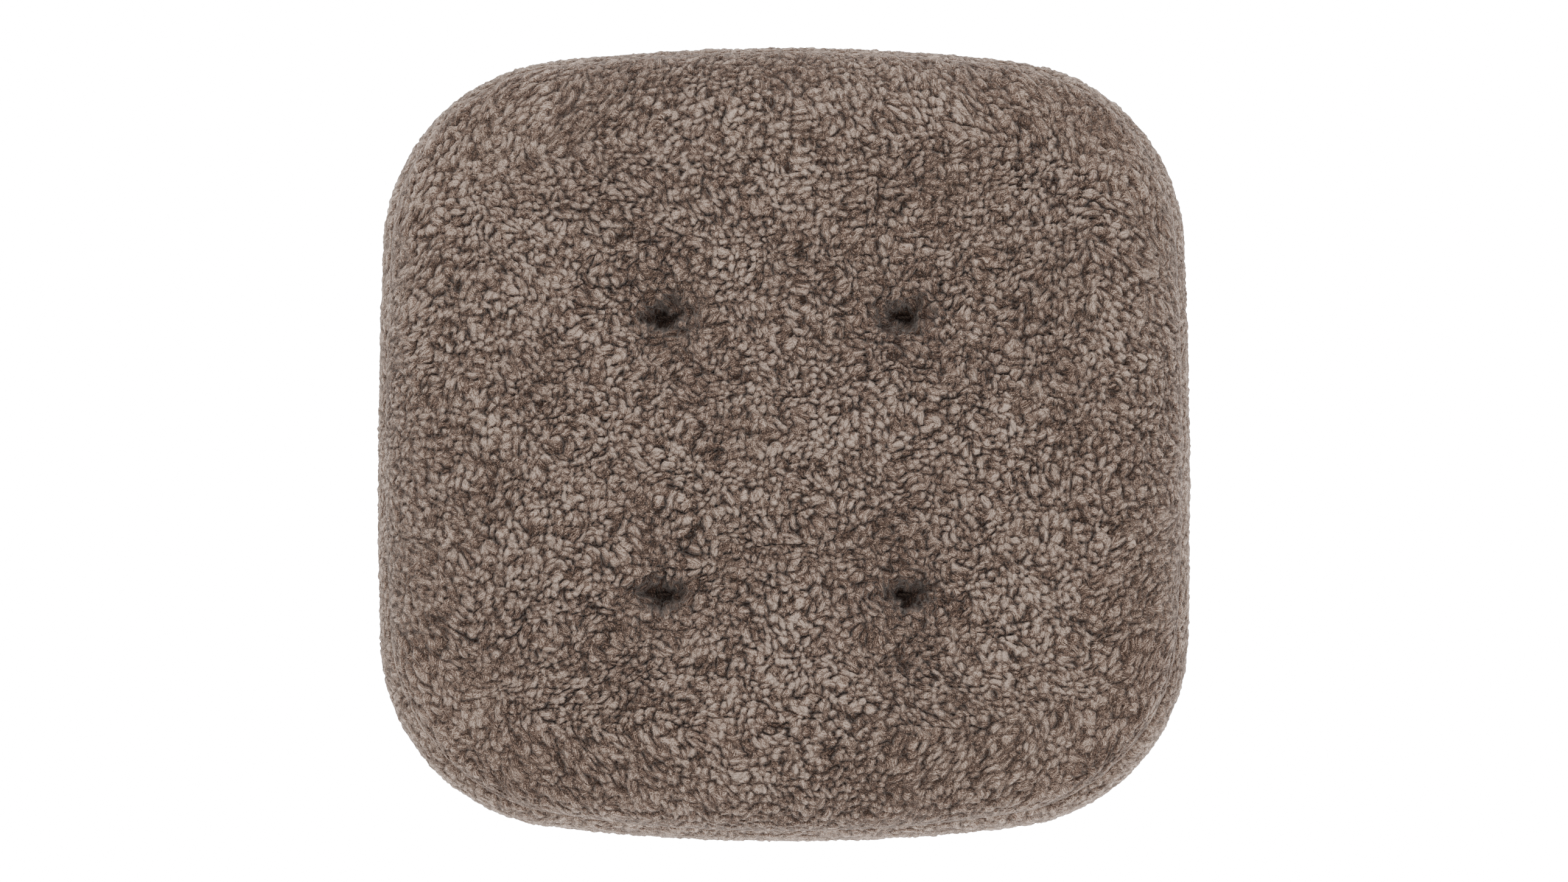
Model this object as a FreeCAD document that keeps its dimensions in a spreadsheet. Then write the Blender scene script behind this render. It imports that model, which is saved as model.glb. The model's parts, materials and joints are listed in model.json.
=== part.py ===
import FreeCAD, Part
import math
import os
import Sketcher

# A tufted chair seat pad: a shearling top and side band sewn to a flat cloth base over a foam core
# wrapped in wadding, with four twine tufts tied down to buttons underneath.
# Frame: origin at the middle of the resting face, +X right, +Y to the rear, +Z up, millimetres.

doc = FreeCAD.newDocument("seat_pad")
sheet = doc.addObject("Spreadsheet::Sheet", "dims")

SIZES = {
    # outline
    "pad_width": 400,
    "pad_depth": 393,
    "corner_radius": 95,
    "end_arc_radius": 970,
    "side_arc_radius": 3400,
    # cover
    "band_thickness": 9,
    "band_edge_radius": 6.5,
    "top_thickness": 9,
    "panel_edge_radius": 7.5,
    "crown_rise": 13,
    "seam_inset": 5,
    "seam_allowance": 8,
    "hide_thickness": 2,
    "base_thickness": 2,
    # filling
    "foam_thickness": 29,
    "lower_wadding": 4,
    "edge_wadding": 4,
    "upper_wadding": 3,
    # tufts
    "tuft_spacing_across": 117,
    "tuft_spacing_along": 135.6,
    "tuft_shift_forward": 9,
    "tuft_dish_radius": 26,
    "tuft_floor_radius": 5,
    "tuft_floor_thickness": 4,
    "tuft_wall": 5,
    "squeezed_wadding": 1.5,
    "core_hole_clearance": 0.7,
    # twine
    "twine_diameter": 1.6,
    "leg_spacing": 6,
    "hole_clearance": 0.1,
    "twine_bend": 1,
    "knot_radius": 1.4,
    "knot_length": 4,
    # buttons under the base
    "button_diameter": 18,
    "button_thickness": 3,
    "button_edge_radius": 0.7,
    "button_well_radius": 5.5,
    "button_well_depth": 0.8,
    "button_hole_clearance": 0.3,
    "button_play": 2,
    "dimple_depth": 7,
    "dimple_flare": 8,
    # threads
    "seam_thread": 0.8,
    "thread_clearance": 0.1,
    "closing_thread": 1,
    "closing_length": 160,
    "stitch_length": 4,
    "stitch_count": 26,
}
for row, (alias, size) in enumerate(SIZES.items(), start=1):
    sheet.set(f"A{row}", alias)
    sheet.set(f"B{row}", str(size))
    sheet.setAlias(f"B{row}", alias)
doc.recompute()

# How far a cutting shape runs past what it cuts.
OVERSHOOT = 2

# Levels and radii that follow from the sheet, written as expressions.
FOAM_BOTTOM = "(dims.base_thickness + dims.lower_wadding)"
SEAM = f"({FOAM_BOTTOM} + dims.foam_thickness)"
CROWN = f"({SEAM} + dims.upper_wadding + dims.top_thickness + dims.crown_rise)"
CORNER_REACH = "(sqrt(dims.pad_width ^ 2 + dims.pad_depth ^ 2) / 2 - (sqrt(2) - 1) * dims.corner_radius)"
REACH = f"({CORNER_REACH} + {OVERSHOOT})"
DOME_RADIUS = f"(({CORNER_REACH} ^ 2 + dims.crown_rise ^ 2) / (2 * dims.crown_rise))"
UNDER_CROWN = f"({CROWN} - dims.top_thickness)"
UNDER_RADIUS = f"({DOME_RADIUS} - dims.top_thickness)"
WALL_TOP = f"({SEAM} + dims.upper_wadding + dims.top_thickness * 2 / 3)"
HEM_INSET = "dims.band_thickness + dims.hide_thickness"
CORE_INSET = f"{HEM_INSET} + dims.edge_wadding"
TUFT_UNDER = f"({SEAM} + dims.squeezed_wadding)"
TUFT_FLOOR = f"({TUFT_UNDER} + dims.tuft_floor_thickness)"
TUFT_SLOPE = f"((dims.tuft_dish_radius - dims.tuft_floor_radius) / ({CROWN} - {TUFT_FLOOR}))"
BOSS_RADIUS = "(dims.tuft_floor_radius + dims.tuft_wall)"
CORE_HOLE = "(dims.leg_spacing / 2 + dims.twine_diameter / 2 + dims.core_hole_clearance)"
DIMPLE_RADIUS = "(dims.button_diameter / 2 + dims.button_play)"
DIMPLE_SLOPE = "(dims.dimple_flare / dims.dimple_depth)"


def value(expression):
    """The number that an expression gives with the present sizes."""
    return float(sheet.evalExpression(expression))


def new_body(name):
    body = doc.addObject("PartDesign::Body", name)
    body.Label = name
    return body


def new_sketch(body, name, plane="XY_Plane", across="0", level="0"):
    """A sketch on one of the body's own planes, moved across it and off it by two expressions."""
    sketch = body.newObject("Sketcher::SketchObject", f"{body.Label}_{name}")
    support = next(f for f in body.Origin.OriginFeatures if f.Role == plane)
    sketch.AttachmentSupport = [(support, "")]
    sketch.MapMode = "FlatFace"
    sketch.AttachmentOffset = FreeCAD.Placement()
    sketch.setExpression("AttachmentOffset.Base.x", across)
    sketch.setExpression("AttachmentOffset.Base.z", level)
    doc.recompute()
    return sketch


def tie(sketch, name, expression, kind, *where):
    """Adds a dimension and binds it to its expression."""
    index = sketch.addConstraint(Sketcher.Constraint(kind, *where, value(expression)))
    sketch.renameConstraint(index, name)
    sketch.setExpression(f"Constraints.{name}", expression)


def corner_centre(half_width, half_depth, corner, end, side):
    """Where a corner arc's centre lies, so that it touches an end arc and a side arc from inside."""
    end_centre = FreeCAD.Vector(0, half_depth - end, 0)
    side_centre = FreeCAD.Vector(half_width - side, 0, 0)
    between = side_centre - end_centre
    gap = between.Length
    along = (gap**2 + (end - corner) ** 2 - (side - corner) ** 2) / (2 * gap)
    across = math.sqrt((end - corner) ** 2 - along**2)
    unit = between / gap
    normal = FreeCAD.Vector(-unit.y, unit.x, 0)
    points = [end_centre + unit * along + normal * (across * way) for way in (1, -1)]
    return max(points, key=lambda point: point.x + point.y)


def outline(sketch, name, inset="0", split=False):
    """The pad's plan: four long arcs and four corner arcs that run into each other, moved inwards.

    With split, the right side is two arcs that meet on the X axis, for a path that starts there.
    """
    half_width = f"(dims.pad_width / 2 - ({inset}))"
    half_depth = f"(dims.pad_depth / 2 - ({inset}))"
    corner = f"(dims.corner_radius - ({inset}))"
    end = f"(dims.end_arc_radius - ({inset}))"
    side = f"(dims.side_arc_radius - ({inset}))"
    a, b, r, e, s = (value(size) for size in (half_width, half_depth, corner, end, side))
    middle = corner_centre(a, b, r, e, s)
    low = math.atan2(middle.y, middle.x - (a - s))
    high = math.atan2(middle.y - (b - e), middle.x)
    turn = math.pi
    arcs = [
        ("side", (a - s, 0), s, -low, low),
        ("corner", (middle.x, middle.y), r, low, high),
        ("end", (0, b - e), e, high, turn - high),
        ("corner", (-middle.x, middle.y), r, turn - high, turn - low),
        ("side", (s - a, 0), s, turn - low, turn + low),
        ("corner", (-middle.x, -middle.y), r, turn + low, turn + high),
        ("end", (0, e - b), e, turn + high, 2 * turn - high),
        ("corner", (middle.x, -middle.y), r, 2 * turn - high, 2 * turn - low),
    ]
    if split:
        arcs[0] = ("side", (a - s, 0), s, 0, low)
        arcs.append(("side", (a - s, 0), s, -low, 0))
    up = FreeCAD.Vector(0, 0, 1)
    made = [
        sketch.addGeometry(Part.ArcOfCircle(Part.Circle(FreeCAD.Vector(*centre, 0), up, radius), *span))
        for _, centre, radius, *span in arcs
    ]
    for this, following in zip(made, made[1:] + made[:1]):
        sketch.addConstraint(Sketcher.Constraint("Tangent", this, 2, following, 1))
    kinds = [kind for kind, *_ in arcs]
    for kind, size in (("side", side), ("corner", corner), ("end", end)):
        first, *others = [arc for arc, its in zip(made, kinds) if its == kind]
        tie(sketch, f"{name}_{kind}_radius", size, "Radius", first)
        for other in others:
            sketch.addConstraint(Sketcher.Constraint("Equal", first, other))
    right, rear, left, front = (made[i] for i in (0, 2, 4, 6))
    for arc, axis in ((right, -1), (left, -1), (rear, -2), (front, -2)):
        sketch.addConstraint(Sketcher.Constraint("PointOnObject", arc, 3, axis))
    if split:
        sketch.addConstraint(Sketcher.Constraint("PointOnObject", right, 1, -1))
    tie(sketch, f"{name}_right", f"{side} - {half_width}", "DistanceX", right, 3, -1, 1)
    tie(sketch, f"{name}_left", f"{side} - {half_width}", "DistanceX", -1, 1, left, 3)
    tie(sketch, f"{name}_rear", f"{end} - {half_depth}", "DistanceY", rear, 3, -1, 1)
    tie(sketch, f"{name}_front", f"{end} - {half_depth}", "DistanceY", -1, 1, front, 3)
    doc.recompute()


def pad(body, name, sketch, length):
    feature = body.newObject("PartDesign::Pad", f"{body.Label}_{name}")
    feature.Profile = sketch
    feature.setExpression("Length", length)
    doc.recompute()
    return feature


def slab(body, name, bottom, top, outer, inner=None):
    """A flat layer of the pad's plan between two levels, or a ring when an inner inset is given."""
    sketch = new_sketch(body, f"{name}_plan", level=bottom)
    outline(sketch, "outer", outer)
    if inner is not None:
        outline(sketch, "inner", inner)
    return pad(body, name, sketch, f"{top} - {bottom}")


def ring_cut(body, name, bottom, top, outer, inner):
    """Takes a ring of the pad's plan away between two levels."""
    sketch = new_sketch(body, f"{name}_plan", level=bottom)
    outline(sketch, "outer", outer)
    outline(sketch, "inner", inner)
    feature = body.newObject("PartDesign::Pocket", f"{body.Label}_{name}")
    feature.Profile = sketch
    feature.Reversed = True
    feature.setExpression("Length", f"{top} - {bottom}")
    return must_cut(body, feature)


def must_cut(body, feature):
    """Recomputes a cut and stops if it took nothing away."""
    before = feature.BaseFeature.Shape.Volume
    doc.recompute()
    if not feature.Shape.Volume < before - 1e-6:
        raise RuntimeError(f"{feature.Name} cut nothing")
    return feature


def dome_cut(body, name, apex, inner, outer, surface):
    """Cuts along a spherical dome: takes away what lies between two radii about the dome's centre.

    The block is turned about a level axis through that centre, so that the dome has no pole on it.
    """
    sketch = new_sketch(body, f"{name}_profile", plane="XZ_Plane")
    sketch.setExpression("AttachmentOffset.Base.y", f"{apex} - {surface}")
    doc.recompute()
    far = value(REACH)
    arcs = []
    for radius in (value(inner), value(outer)):
        circle = Part.Circle(FreeCAD.Vector(0, 0, 0), FreeCAD.Vector(0, 0, 1), radius)
        low = math.acos(far / radius)
        arcs.append(sketch.addGeometry(Part.ArcOfCircle(circle, low, math.pi - low)))
    ends = [
        sketch.addGeometry(Part.LineSegment(
            FreeCAD.Vector(way * far, math.sqrt(value(inner) ** 2 - far**2), 0),
            FreeCAD.Vector(way * far, math.sqrt(value(outer) ** 2 - far**2), 0),
        ))
        for way in (1, -1)
    ]
    for arc, radius, tip in zip(arcs, (inner, outer), (1, 2)):
        sketch.addConstraint(Sketcher.Constraint("Coincident", arc, 3, -1, 1))
        tie(sketch, f"radius_{tip}", radius, "Radius", arc)
        for end, line in enumerate(ends, start=1):
            sketch.addConstraint(Sketcher.Constraint("Coincident", line, tip, arc, end))
    for line in ends:
        sketch.addConstraint(Sketcher.Constraint("Vertical", line))
    tie(sketch, "right", REACH, "DistanceX", -1, 1, arcs[0], 1)
    tie(sketch, "left", REACH, "DistanceX", arcs[0], 2, -1, 1)
    doc.recompute()
    feature = body.newObject("PartDesign::Groove", f"{body.Label}_{name}")
    feature.Profile = sketch
    feature.ReferenceAxis = (sketch, ["H_Axis"])
    feature.Midplane = True
    feature.setExpression("Angle", f"2 * asin({REACH} / {surface})")
    return must_cut(body, feature)


FIRST_ACROSS = "-dims.tuft_spacing_across / 2"
FIRST_ALONG = "(-dims.tuft_spacing_along / 2 - dims.tuft_shift_forward)"


def cone_profile(body, name, low, low_radius, high, high_radius, across=FIRST_ACROSS, along=FIRST_ALONG):
    """Half the section of a cone frustum standing on a tuft's axis."""
    sketch = new_sketch(body, f"{name}_profile", plane="XZ_Plane", across=across, level=f"-({along})")
    z1, r1, z2, r2 = (value(size) for size in (low, low_radius, high, high_radius))
    corners = [(0, z1), (r1, z1), (r2, z2), (0, z2)]
    lines = [
        sketch.addGeometry(Part.LineSegment(FreeCAD.Vector(*start, 0), FreeCAD.Vector(*stop, 0)))
        for start, stop in zip(corners, corners[1:] + corners[:1])
    ]
    for this, following in zip(lines, lines[1:] + lines[:1]):
        sketch.addConstraint(Sketcher.Constraint("Coincident", this, 2, following, 1))
    sketch.addConstraint(Sketcher.Constraint("Horizontal", lines[0]))
    sketch.addConstraint(Sketcher.Constraint("Horizontal", lines[2]))
    sketch.addConstraint(Sketcher.Constraint("PointOnObject", lines[0], 1, -2))
    sketch.addConstraint(Sketcher.Constraint("PointOnObject", lines[2], 2, -2))
    tie(sketch, "low", low, "DistanceY", -1, 1, lines[0], 1)
    tie(sketch, "high", high, "DistanceY", -1, 1, lines[2], 2)
    tie(sketch, "low_radius", low_radius, "DistanceX", lines[0], 1, lines[0], 2)
    tie(sketch, "high_radius", high_radius, "DistanceX", lines[2], 2, lines[2], 1)
    doc.recompute()
    return sketch


def cone(body, name, kind, *sizes):
    """Adds (Revolution) or takes away (Groove) a cone frustum at the first tuft."""
    feature = body.newObject(f"PartDesign::{kind}", f"{body.Label}_{name}")
    feature.Profile = cone_profile(body, name, *sizes)
    feature.ReferenceAxis = (feature.Profile[0], ["V_Axis"])
    feature.Angle = 360
    if kind == "Groove":
        return must_cut(body, feature)
    doc.recompute()
    return feature


def holes(body, name, bottom, top, radius, centres, along=FIRST_ALONG):
    """Upright holes between two levels, at the given places across the pad."""
    sketch = new_sketch(body, f"{name}_plan", level=bottom)
    y = value(along)
    for number, centre in enumerate(centres, start=1):
        middle = FreeCAD.Vector(value(centre), y, 0)
        circle = sketch.addGeometry(Part.Circle(middle, FreeCAD.Vector(0, 0, 1), value(radius)))
        tie(sketch, f"radius_{number}", radius, "Radius", circle)
        tie(sketch, f"across_{number}", f"-({centre})", "DistanceX", circle, 3, -1, 1)
        tie(sketch, f"along_{number}", f"-({along})", "DistanceY", circle, 3, -1, 1)
    feature = body.newObject("PartDesign::Pocket", f"{body.Label}_{name}")
    feature.Profile = sketch
    feature.Reversed = True
    feature.setExpression("Length", f"{top} - {bottom}")
    return must_cut(body, feature)


def leg_holes(body, name, bottom, top):
    """The two needle holes that a tuft's twine passes through."""
    radius = "(dims.twine_diameter / 2 + dims.hole_clearance)"
    centres = [f"({FIRST_ACROSS} {sign} dims.leg_spacing / 2)" for sign in "-+"]
    return holes(body, name, bottom, top, radius, centres)


def core_hole(body, bottom, top):
    """The round hole in a filling layer that both legs of the twine pass through."""
    return holes(body, "tuft_hole", bottom, top, CORE_HOLE, [FIRST_ACROSS])


def at_every_tuft(body, *features):
    """Repeats the first tuft's features at all four tufts."""
    axes = {f.Role: f for f in body.Origin.OriginFeatures}
    pattern = body.newObject("PartDesign::LinearPattern", f"{body.Label}_tufts")
    pattern.Originals = list(features)
    pattern.Direction = (axes["X_Axis"], [""])
    pattern.setExpression("Length", "dims.tuft_spacing_across")
    pattern.Occurrences = 2
    pattern.Direction2 = (axes["Y_Axis"], [""])
    pattern.setExpression("Length2", "dims.tuft_spacing_along")
    pattern.Occurrences2 = 2
    body.Tip = pattern
    doc.recompute()
    return pattern


def round_edges(body, name, base, radius, chosen):
    """Rounds the edges of a feature for which the test is true at both ends and the middle."""
    names = []
    for number, edge in enumerate(base.Shape.Edges, start=1):
        first, last = edge.ParameterRange
        points = [edge.valueAt(first + (last - first) * part) for part in (0, 0.5, 1)]
        if all(chosen(point) for point in points):
            names.append(f"Edge{number}")
    feature = body.newObject("PartDesign::Fillet", f"{body.Label}_{name}")
    feature.Base = (base, names)
    feature.setExpression("Radius", radius)
    doc.recompute()
    return feature


def inset_of(point):
    """How far inside the pad's outline a point lies in plan."""
    a, b = value("dims.pad_width / 2"), value("dims.pad_depth / 2")
    r, e, s = (value(f"dims.{name}") for name in ("corner_radius", "end_arc_radius", "side_arc_radius"))
    x, y = abs(point.x), abs(point.y)
    middle = corner_centre(a, b, r, e, s)
    if math.atan2(y, x - (a - s)) < math.atan2(middle.y, middle.x - (a - s)):
        return s - math.hypot(x - (a - s), y)
    if math.atan2(y - (b - e), x) > math.atan2(middle.y - (b - e), middle.x):
        return e - math.hypot(x, y - (b - e))
    return r - math.hypot(x - middle.x, y - middle.y)


def near(number, expression):
    return abs(number - value(expression)) < 1e-3


def thread_path(body, name, level, radius, kind):
    """A round thread, or its groove, all the way round the pad where the band meets the hems."""
    path = new_sketch(body, f"{name}_path", level=level)
    outline(path, "line", "dims.band_thickness", split=True)
    section = new_sketch(body, f"{name}_section", plane="XZ_Plane")
    across = "(dims.pad_width / 2 - dims.band_thickness)"
    middle = FreeCAD.Vector(value(across), value(level), 0)
    circle = section.addGeometry(Part.Circle(middle, FreeCAD.Vector(0, 0, 1), value(radius)))
    tie(section, "radius", radius, "Radius", circle)
    tie(section, "across", across, "DistanceX", -1, 1, circle, 3)
    tie(section, "level", level, "DistanceY", -1, 1, circle, 3)
    doc.recompute()
    feature = body.newObject(f"PartDesign::{kind}", f"{body.Label}_{name}")
    feature.Profile = section
    feature.Spine = (path, [])
    if kind == "SubtractivePipe":
        return must_cut(body, feature)
    doc.recompute()
    return feature


BUTTON_BOTTOM = "(dims.dimple_depth - dims.button_thickness)"
TOP_THREAD = f"({SEAM} - dims.seam_allowance / 2)"
BASE_THREAD = "(dims.base_thickness + dims.seam_allowance / 2)"
THREAD_GROOVE = "(dims.seam_thread / 2 + dims.thread_clearance)"


def top_panel():
    """The shearling top: a domed sheet with a rolled rim, a hem inside the band and four tuft pits."""
    body = new_body("top_panel")
    slab(body, "blank", SEAM, f"({CROWN} + {OVERSHOOT})", "dims.seam_inset")
    above = f"({DOME_RADIUS} + {CROWN} - {SEAM})"
    dome_cut(body, "crown", CROWN, DOME_RADIUS, above, DOME_RADIUS)
    below = f"({UNDER_RADIUS} - {UNDER_CROWN} + {SEAM} - {OVERSHOOT})"
    dome_cut(body, "underside", UNDER_CROWN, below, UNDER_RADIUS, UNDER_RADIUS)
    rim = slab(body, "rim", SEAM, WALL_TOP, "dims.seam_inset", "dims.seam_inset + dims.top_thickness")
    rolled = round_edges(
        body, "rolled_edge", rim, "dims.panel_edge_radius",
        lambda p: near(inset_of(p), "dims.seam_inset") and p.z > value(WALL_TOP),
    )
    slab(body, "hem", f"({SEAM} - dims.seam_allowance)", SEAM, "dims.band_thickness", HEM_INSET)
    thread_path(body, "thread_groove", TOP_THREAD, THREAD_GROOVE, "SubtractivePipe")
    boss_top = f"({UNDER_CROWN} + 1)"
    boss_top_radius = f"({BOSS_RADIUS} + ({boss_top} - {TUFT_UNDER}) * {TUFT_SLOPE})"
    boss = cone(body, "tuft_boss", "Revolution", TUFT_UNDER, BOSS_RADIUS, boss_top, boss_top_radius)
    mouth = f"({CROWN} + {OVERSHOOT})"
    mouth_radius = f"(dims.tuft_dish_radius + {OVERSHOOT} * {TUFT_SLOPE})"
    pit = cone(body, "tuft_pit", "Groove", TUFT_FLOOR, "dims.tuft_floor_radius", mouth, mouth_radius)
    legs = leg_holes(body, "needle_holes", f"({TUFT_UNDER} - 1)", f"({TUFT_FLOOR} + 1)")
    at_every_tuft(body, boss, pit, legs)
    return body


def side_band():
    """The shearling strip round the side, rolled over at its top and bottom edges."""
    body = new_body("side_band")
    ring = slab(body, "strip", "dims.base_thickness", SEAM, "0", "dims.band_thickness")
    round_edges(
        body, "rolled_edges", ring, "dims.band_edge_radius",
        lambda p: near(inset_of(p), "0") and (near(p.z, SEAM) or near(p.z, "dims.base_thickness")),
    )
    thread_path(body, "top_thread_groove", TOP_THREAD, THREAD_GROOVE, "SubtractivePipe")
    thread_path(body, "base_thread_groove", BASE_THREAD, THREAD_GROOVE, "SubtractivePipe")
    return body


def base_panel():
    """The flat cloth underneath, hemmed inside the band, with a dimple over each button."""
    body = new_body("base_panel")
    slab(body, "cloth", "0", "dims.base_thickness", "dims.seam_inset")
    hem_top = "(dims.base_thickness + dims.seam_allowance)"
    slab(body, "hem", "dims.base_thickness", hem_top, "dims.band_thickness",
         "dims.band_thickness + dims.base_thickness")
    thread_path(body, "thread_groove", BASE_THREAD, THREAD_GROOVE, "SubtractivePipe")
    boss = dimple(body, "Revolution", "dims.base_thickness / 2")
    dish_mouth = f"({DIMPLE_RADIUS} + dims.dimple_flare + {DIMPLE_SLOPE})"
    dish = cone(body, "dimple", "Groove", "-1", dish_mouth, "dims.dimple_depth", DIMPLE_RADIUS)
    legs = leg_holes(body, "needle_holes", "(dims.dimple_depth - 1)",
                     "(dims.dimple_depth + dims.base_thickness + 1)")
    at_every_tuft(body, boss, dish, legs)
    return body


def dimple(body, kind, start):
    """The raised cone of cloth over a button, or the hollow it presses into a filling layer."""
    top = "(dims.dimple_depth + dims.base_thickness)"
    radius = f"({DIMPLE_RADIUS} + dims.base_thickness)"
    foot = f"({radius} + ({top} - {start}) * {DIMPLE_SLOPE})"
    return cone(body, "dimple_boss", kind, start, foot, top, radius)


def foam_core():
    """The foam slab, with a hole for each tuft and a hollow over each dimple."""
    body = new_body("foam_core")
    slab(body, "slab", FOAM_BOTTOM, SEAM, CORE_INSET)
    hollow = dimple(body, "Groove", "dims.base_thickness")
    hole = core_hole(body, f"({FOAM_BOTTOM} - 1)", f"({SEAM} + 1)")
    at_every_tuft(body, hollow, hole)
    return body


def lower_wadding():
    """The thin layer between the foam and the base, holed by the dimples."""
    body = new_body("lower_wadding")
    slab(body, "sheet", "dims.base_thickness", FOAM_BOTTOM, "dims.band_thickness + dims.base_thickness")
    at_every_tuft(body, dimple(body, "Groove", "dims.base_thickness / 2"))
    return body


def upper_wadding():
    """The crowned layer under the shearling, pressed thin under each tuft."""
    body = new_body("upper_wadding")
    slab(body, "blank", SEAM, f"({UNDER_CROWN} + {OVERSHOOT})", "dims.seam_inset + dims.top_thickness")
    above = f"({UNDER_RADIUS} + {UNDER_CROWN} - {SEAM})"
    dome_cut(body, "crown", UNDER_CROWN, UNDER_RADIUS, above, UNDER_RADIUS)
    mouth = f"({UNDER_CROWN} + {OVERSHOOT})"
    mouth_radius = f"({BOSS_RADIUS} + ({mouth} - {TUFT_UNDER}) * {TUFT_SLOPE})"
    hollow = cone(body, "tuft_hollow", "Groove", TUFT_UNDER, BOSS_RADIUS, mouth, mouth_radius)
    hole = core_hole(body, f"({SEAM} - 1)", f"({TUFT_UNDER} + 1)")
    at_every_tuft(body, hollow, hole)
    return body


def edge_wadding():
    """The strip round the foam's edge, stepped back where the two hems lie against the band."""
    body = new_body("edge_wadding")
    slab(body, "strip", FOAM_BOTTOM, SEAM, "dims.band_thickness", CORE_INSET)
    ring_cut(body, "top_hem_step", f"({SEAM} - dims.seam_allowance)", f"({SEAM} + 1)",
             "dims.band_thickness - 1", HEM_INSET)
    ring_cut(body, "base_hem_step", f"({FOAM_BOTTOM} - 1)", "(dims.base_thickness + dims.seam_allowance)",
             "dims.band_thickness - 1", "dims.band_thickness + dims.base_thickness")
    return body


def seam_thread(name, level):
    """One lockstitched seam's thread, a closed ring between the band and a hem."""
    body = new_body(name)
    thread_path(body, "thread", level, "dims.seam_thread / 2", "AdditivePipe")
    return body


def tuft_place(side, end):
    """A tuft's place across and along the pad; side and end are -1 or 1."""
    across = f"({side} * dims.tuft_spacing_across / 2)"
    along = f"({end} * dims.tuft_spacing_along / 2 - dims.tuft_shift_forward)"
    return across, along


def twine_loop(body, across, along, top, bottom):
    """The twine's closed path: over the hide, down both legs, and under the button."""
    sketch = new_sketch(body, "path", plane="XZ_Plane", across=across, level=f"-({along})")
    leg = "dims.leg_spacing / 2"
    x, z1, z2, bend = (value(size) for size in (leg, top, bottom, "dims.twine_bend"))
    up = FreeCAD.Vector(0, 0, 1)
    quarter = math.pi / 2
    turns = [
        (x - bend, z1 - bend, 0), (x - bend, z2 + bend, 3 * quarter),
        (bend - x, z2 + bend, 2 * quarter), (bend - x, z1 - bend, quarter),
    ]
    stops = [(0, z1), (x - bend, z1), (x, z1 - bend), (x, z2 + bend), (x - bend, z2),
             (bend - x, z2), (-x, z2 + bend), (-x, z1 - bend), (bend - x, z1), (0, z1)]
    lines = [
        sketch.addGeometry(Part.LineSegment(FreeCAD.Vector(*start, 0), FreeCAD.Vector(*stop, 0)))
        for start, stop in zip(stops[::2], stops[1::2])
    ]
    arcs = [
        sketch.addGeometry(Part.ArcOfCircle(
            Part.Circle(FreeCAD.Vector(cx, cz, 0), up, bend), angle, angle + quarter))
        for cx, cz, angle in turns
    ]
    # Each arc runs against the path, so its end meets the line before it and its start the line after.
    for before, arc, after in zip(lines, arcs, lines[1:]):
        sketch.addConstraint(Sketcher.Constraint("Tangent", before, 2, arc, 2))
        sketch.addConstraint(Sketcher.Constraint("Tangent", arc, 1, after, 1))
    sketch.addConstraint(Sketcher.Constraint("Tangent", lines[-1], 2, lines[0], 1))
    for line, way in zip(lines, ("Horizontal", "Vertical", "Horizontal", "Vertical")):
        sketch.addConstraint(Sketcher.Constraint(way, line))
    tie(sketch, "bend", "dims.twine_bend", "Radius", arcs[0])
    for arc in arcs[1:]:
        sketch.addConstraint(Sketcher.Constraint("Equal", arcs[0], arc))
    sketch.addConstraint(Sketcher.Constraint("PointOnObject", lines[0], 1, -2))
    tie(sketch, "top", top, "DistanceY", -1, 1, lines[0], 1)
    tie(sketch, "bottom", bottom, "DistanceY", -1, 1, lines[2], 1)
    tie(sketch, "right_leg", leg, "DistanceX", -1, 1, lines[1], 1)
    tie(sketch, "left_leg", leg, "DistanceX", lines[3], 1, -1, 1)
    doc.recompute()
    return sketch


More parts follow.
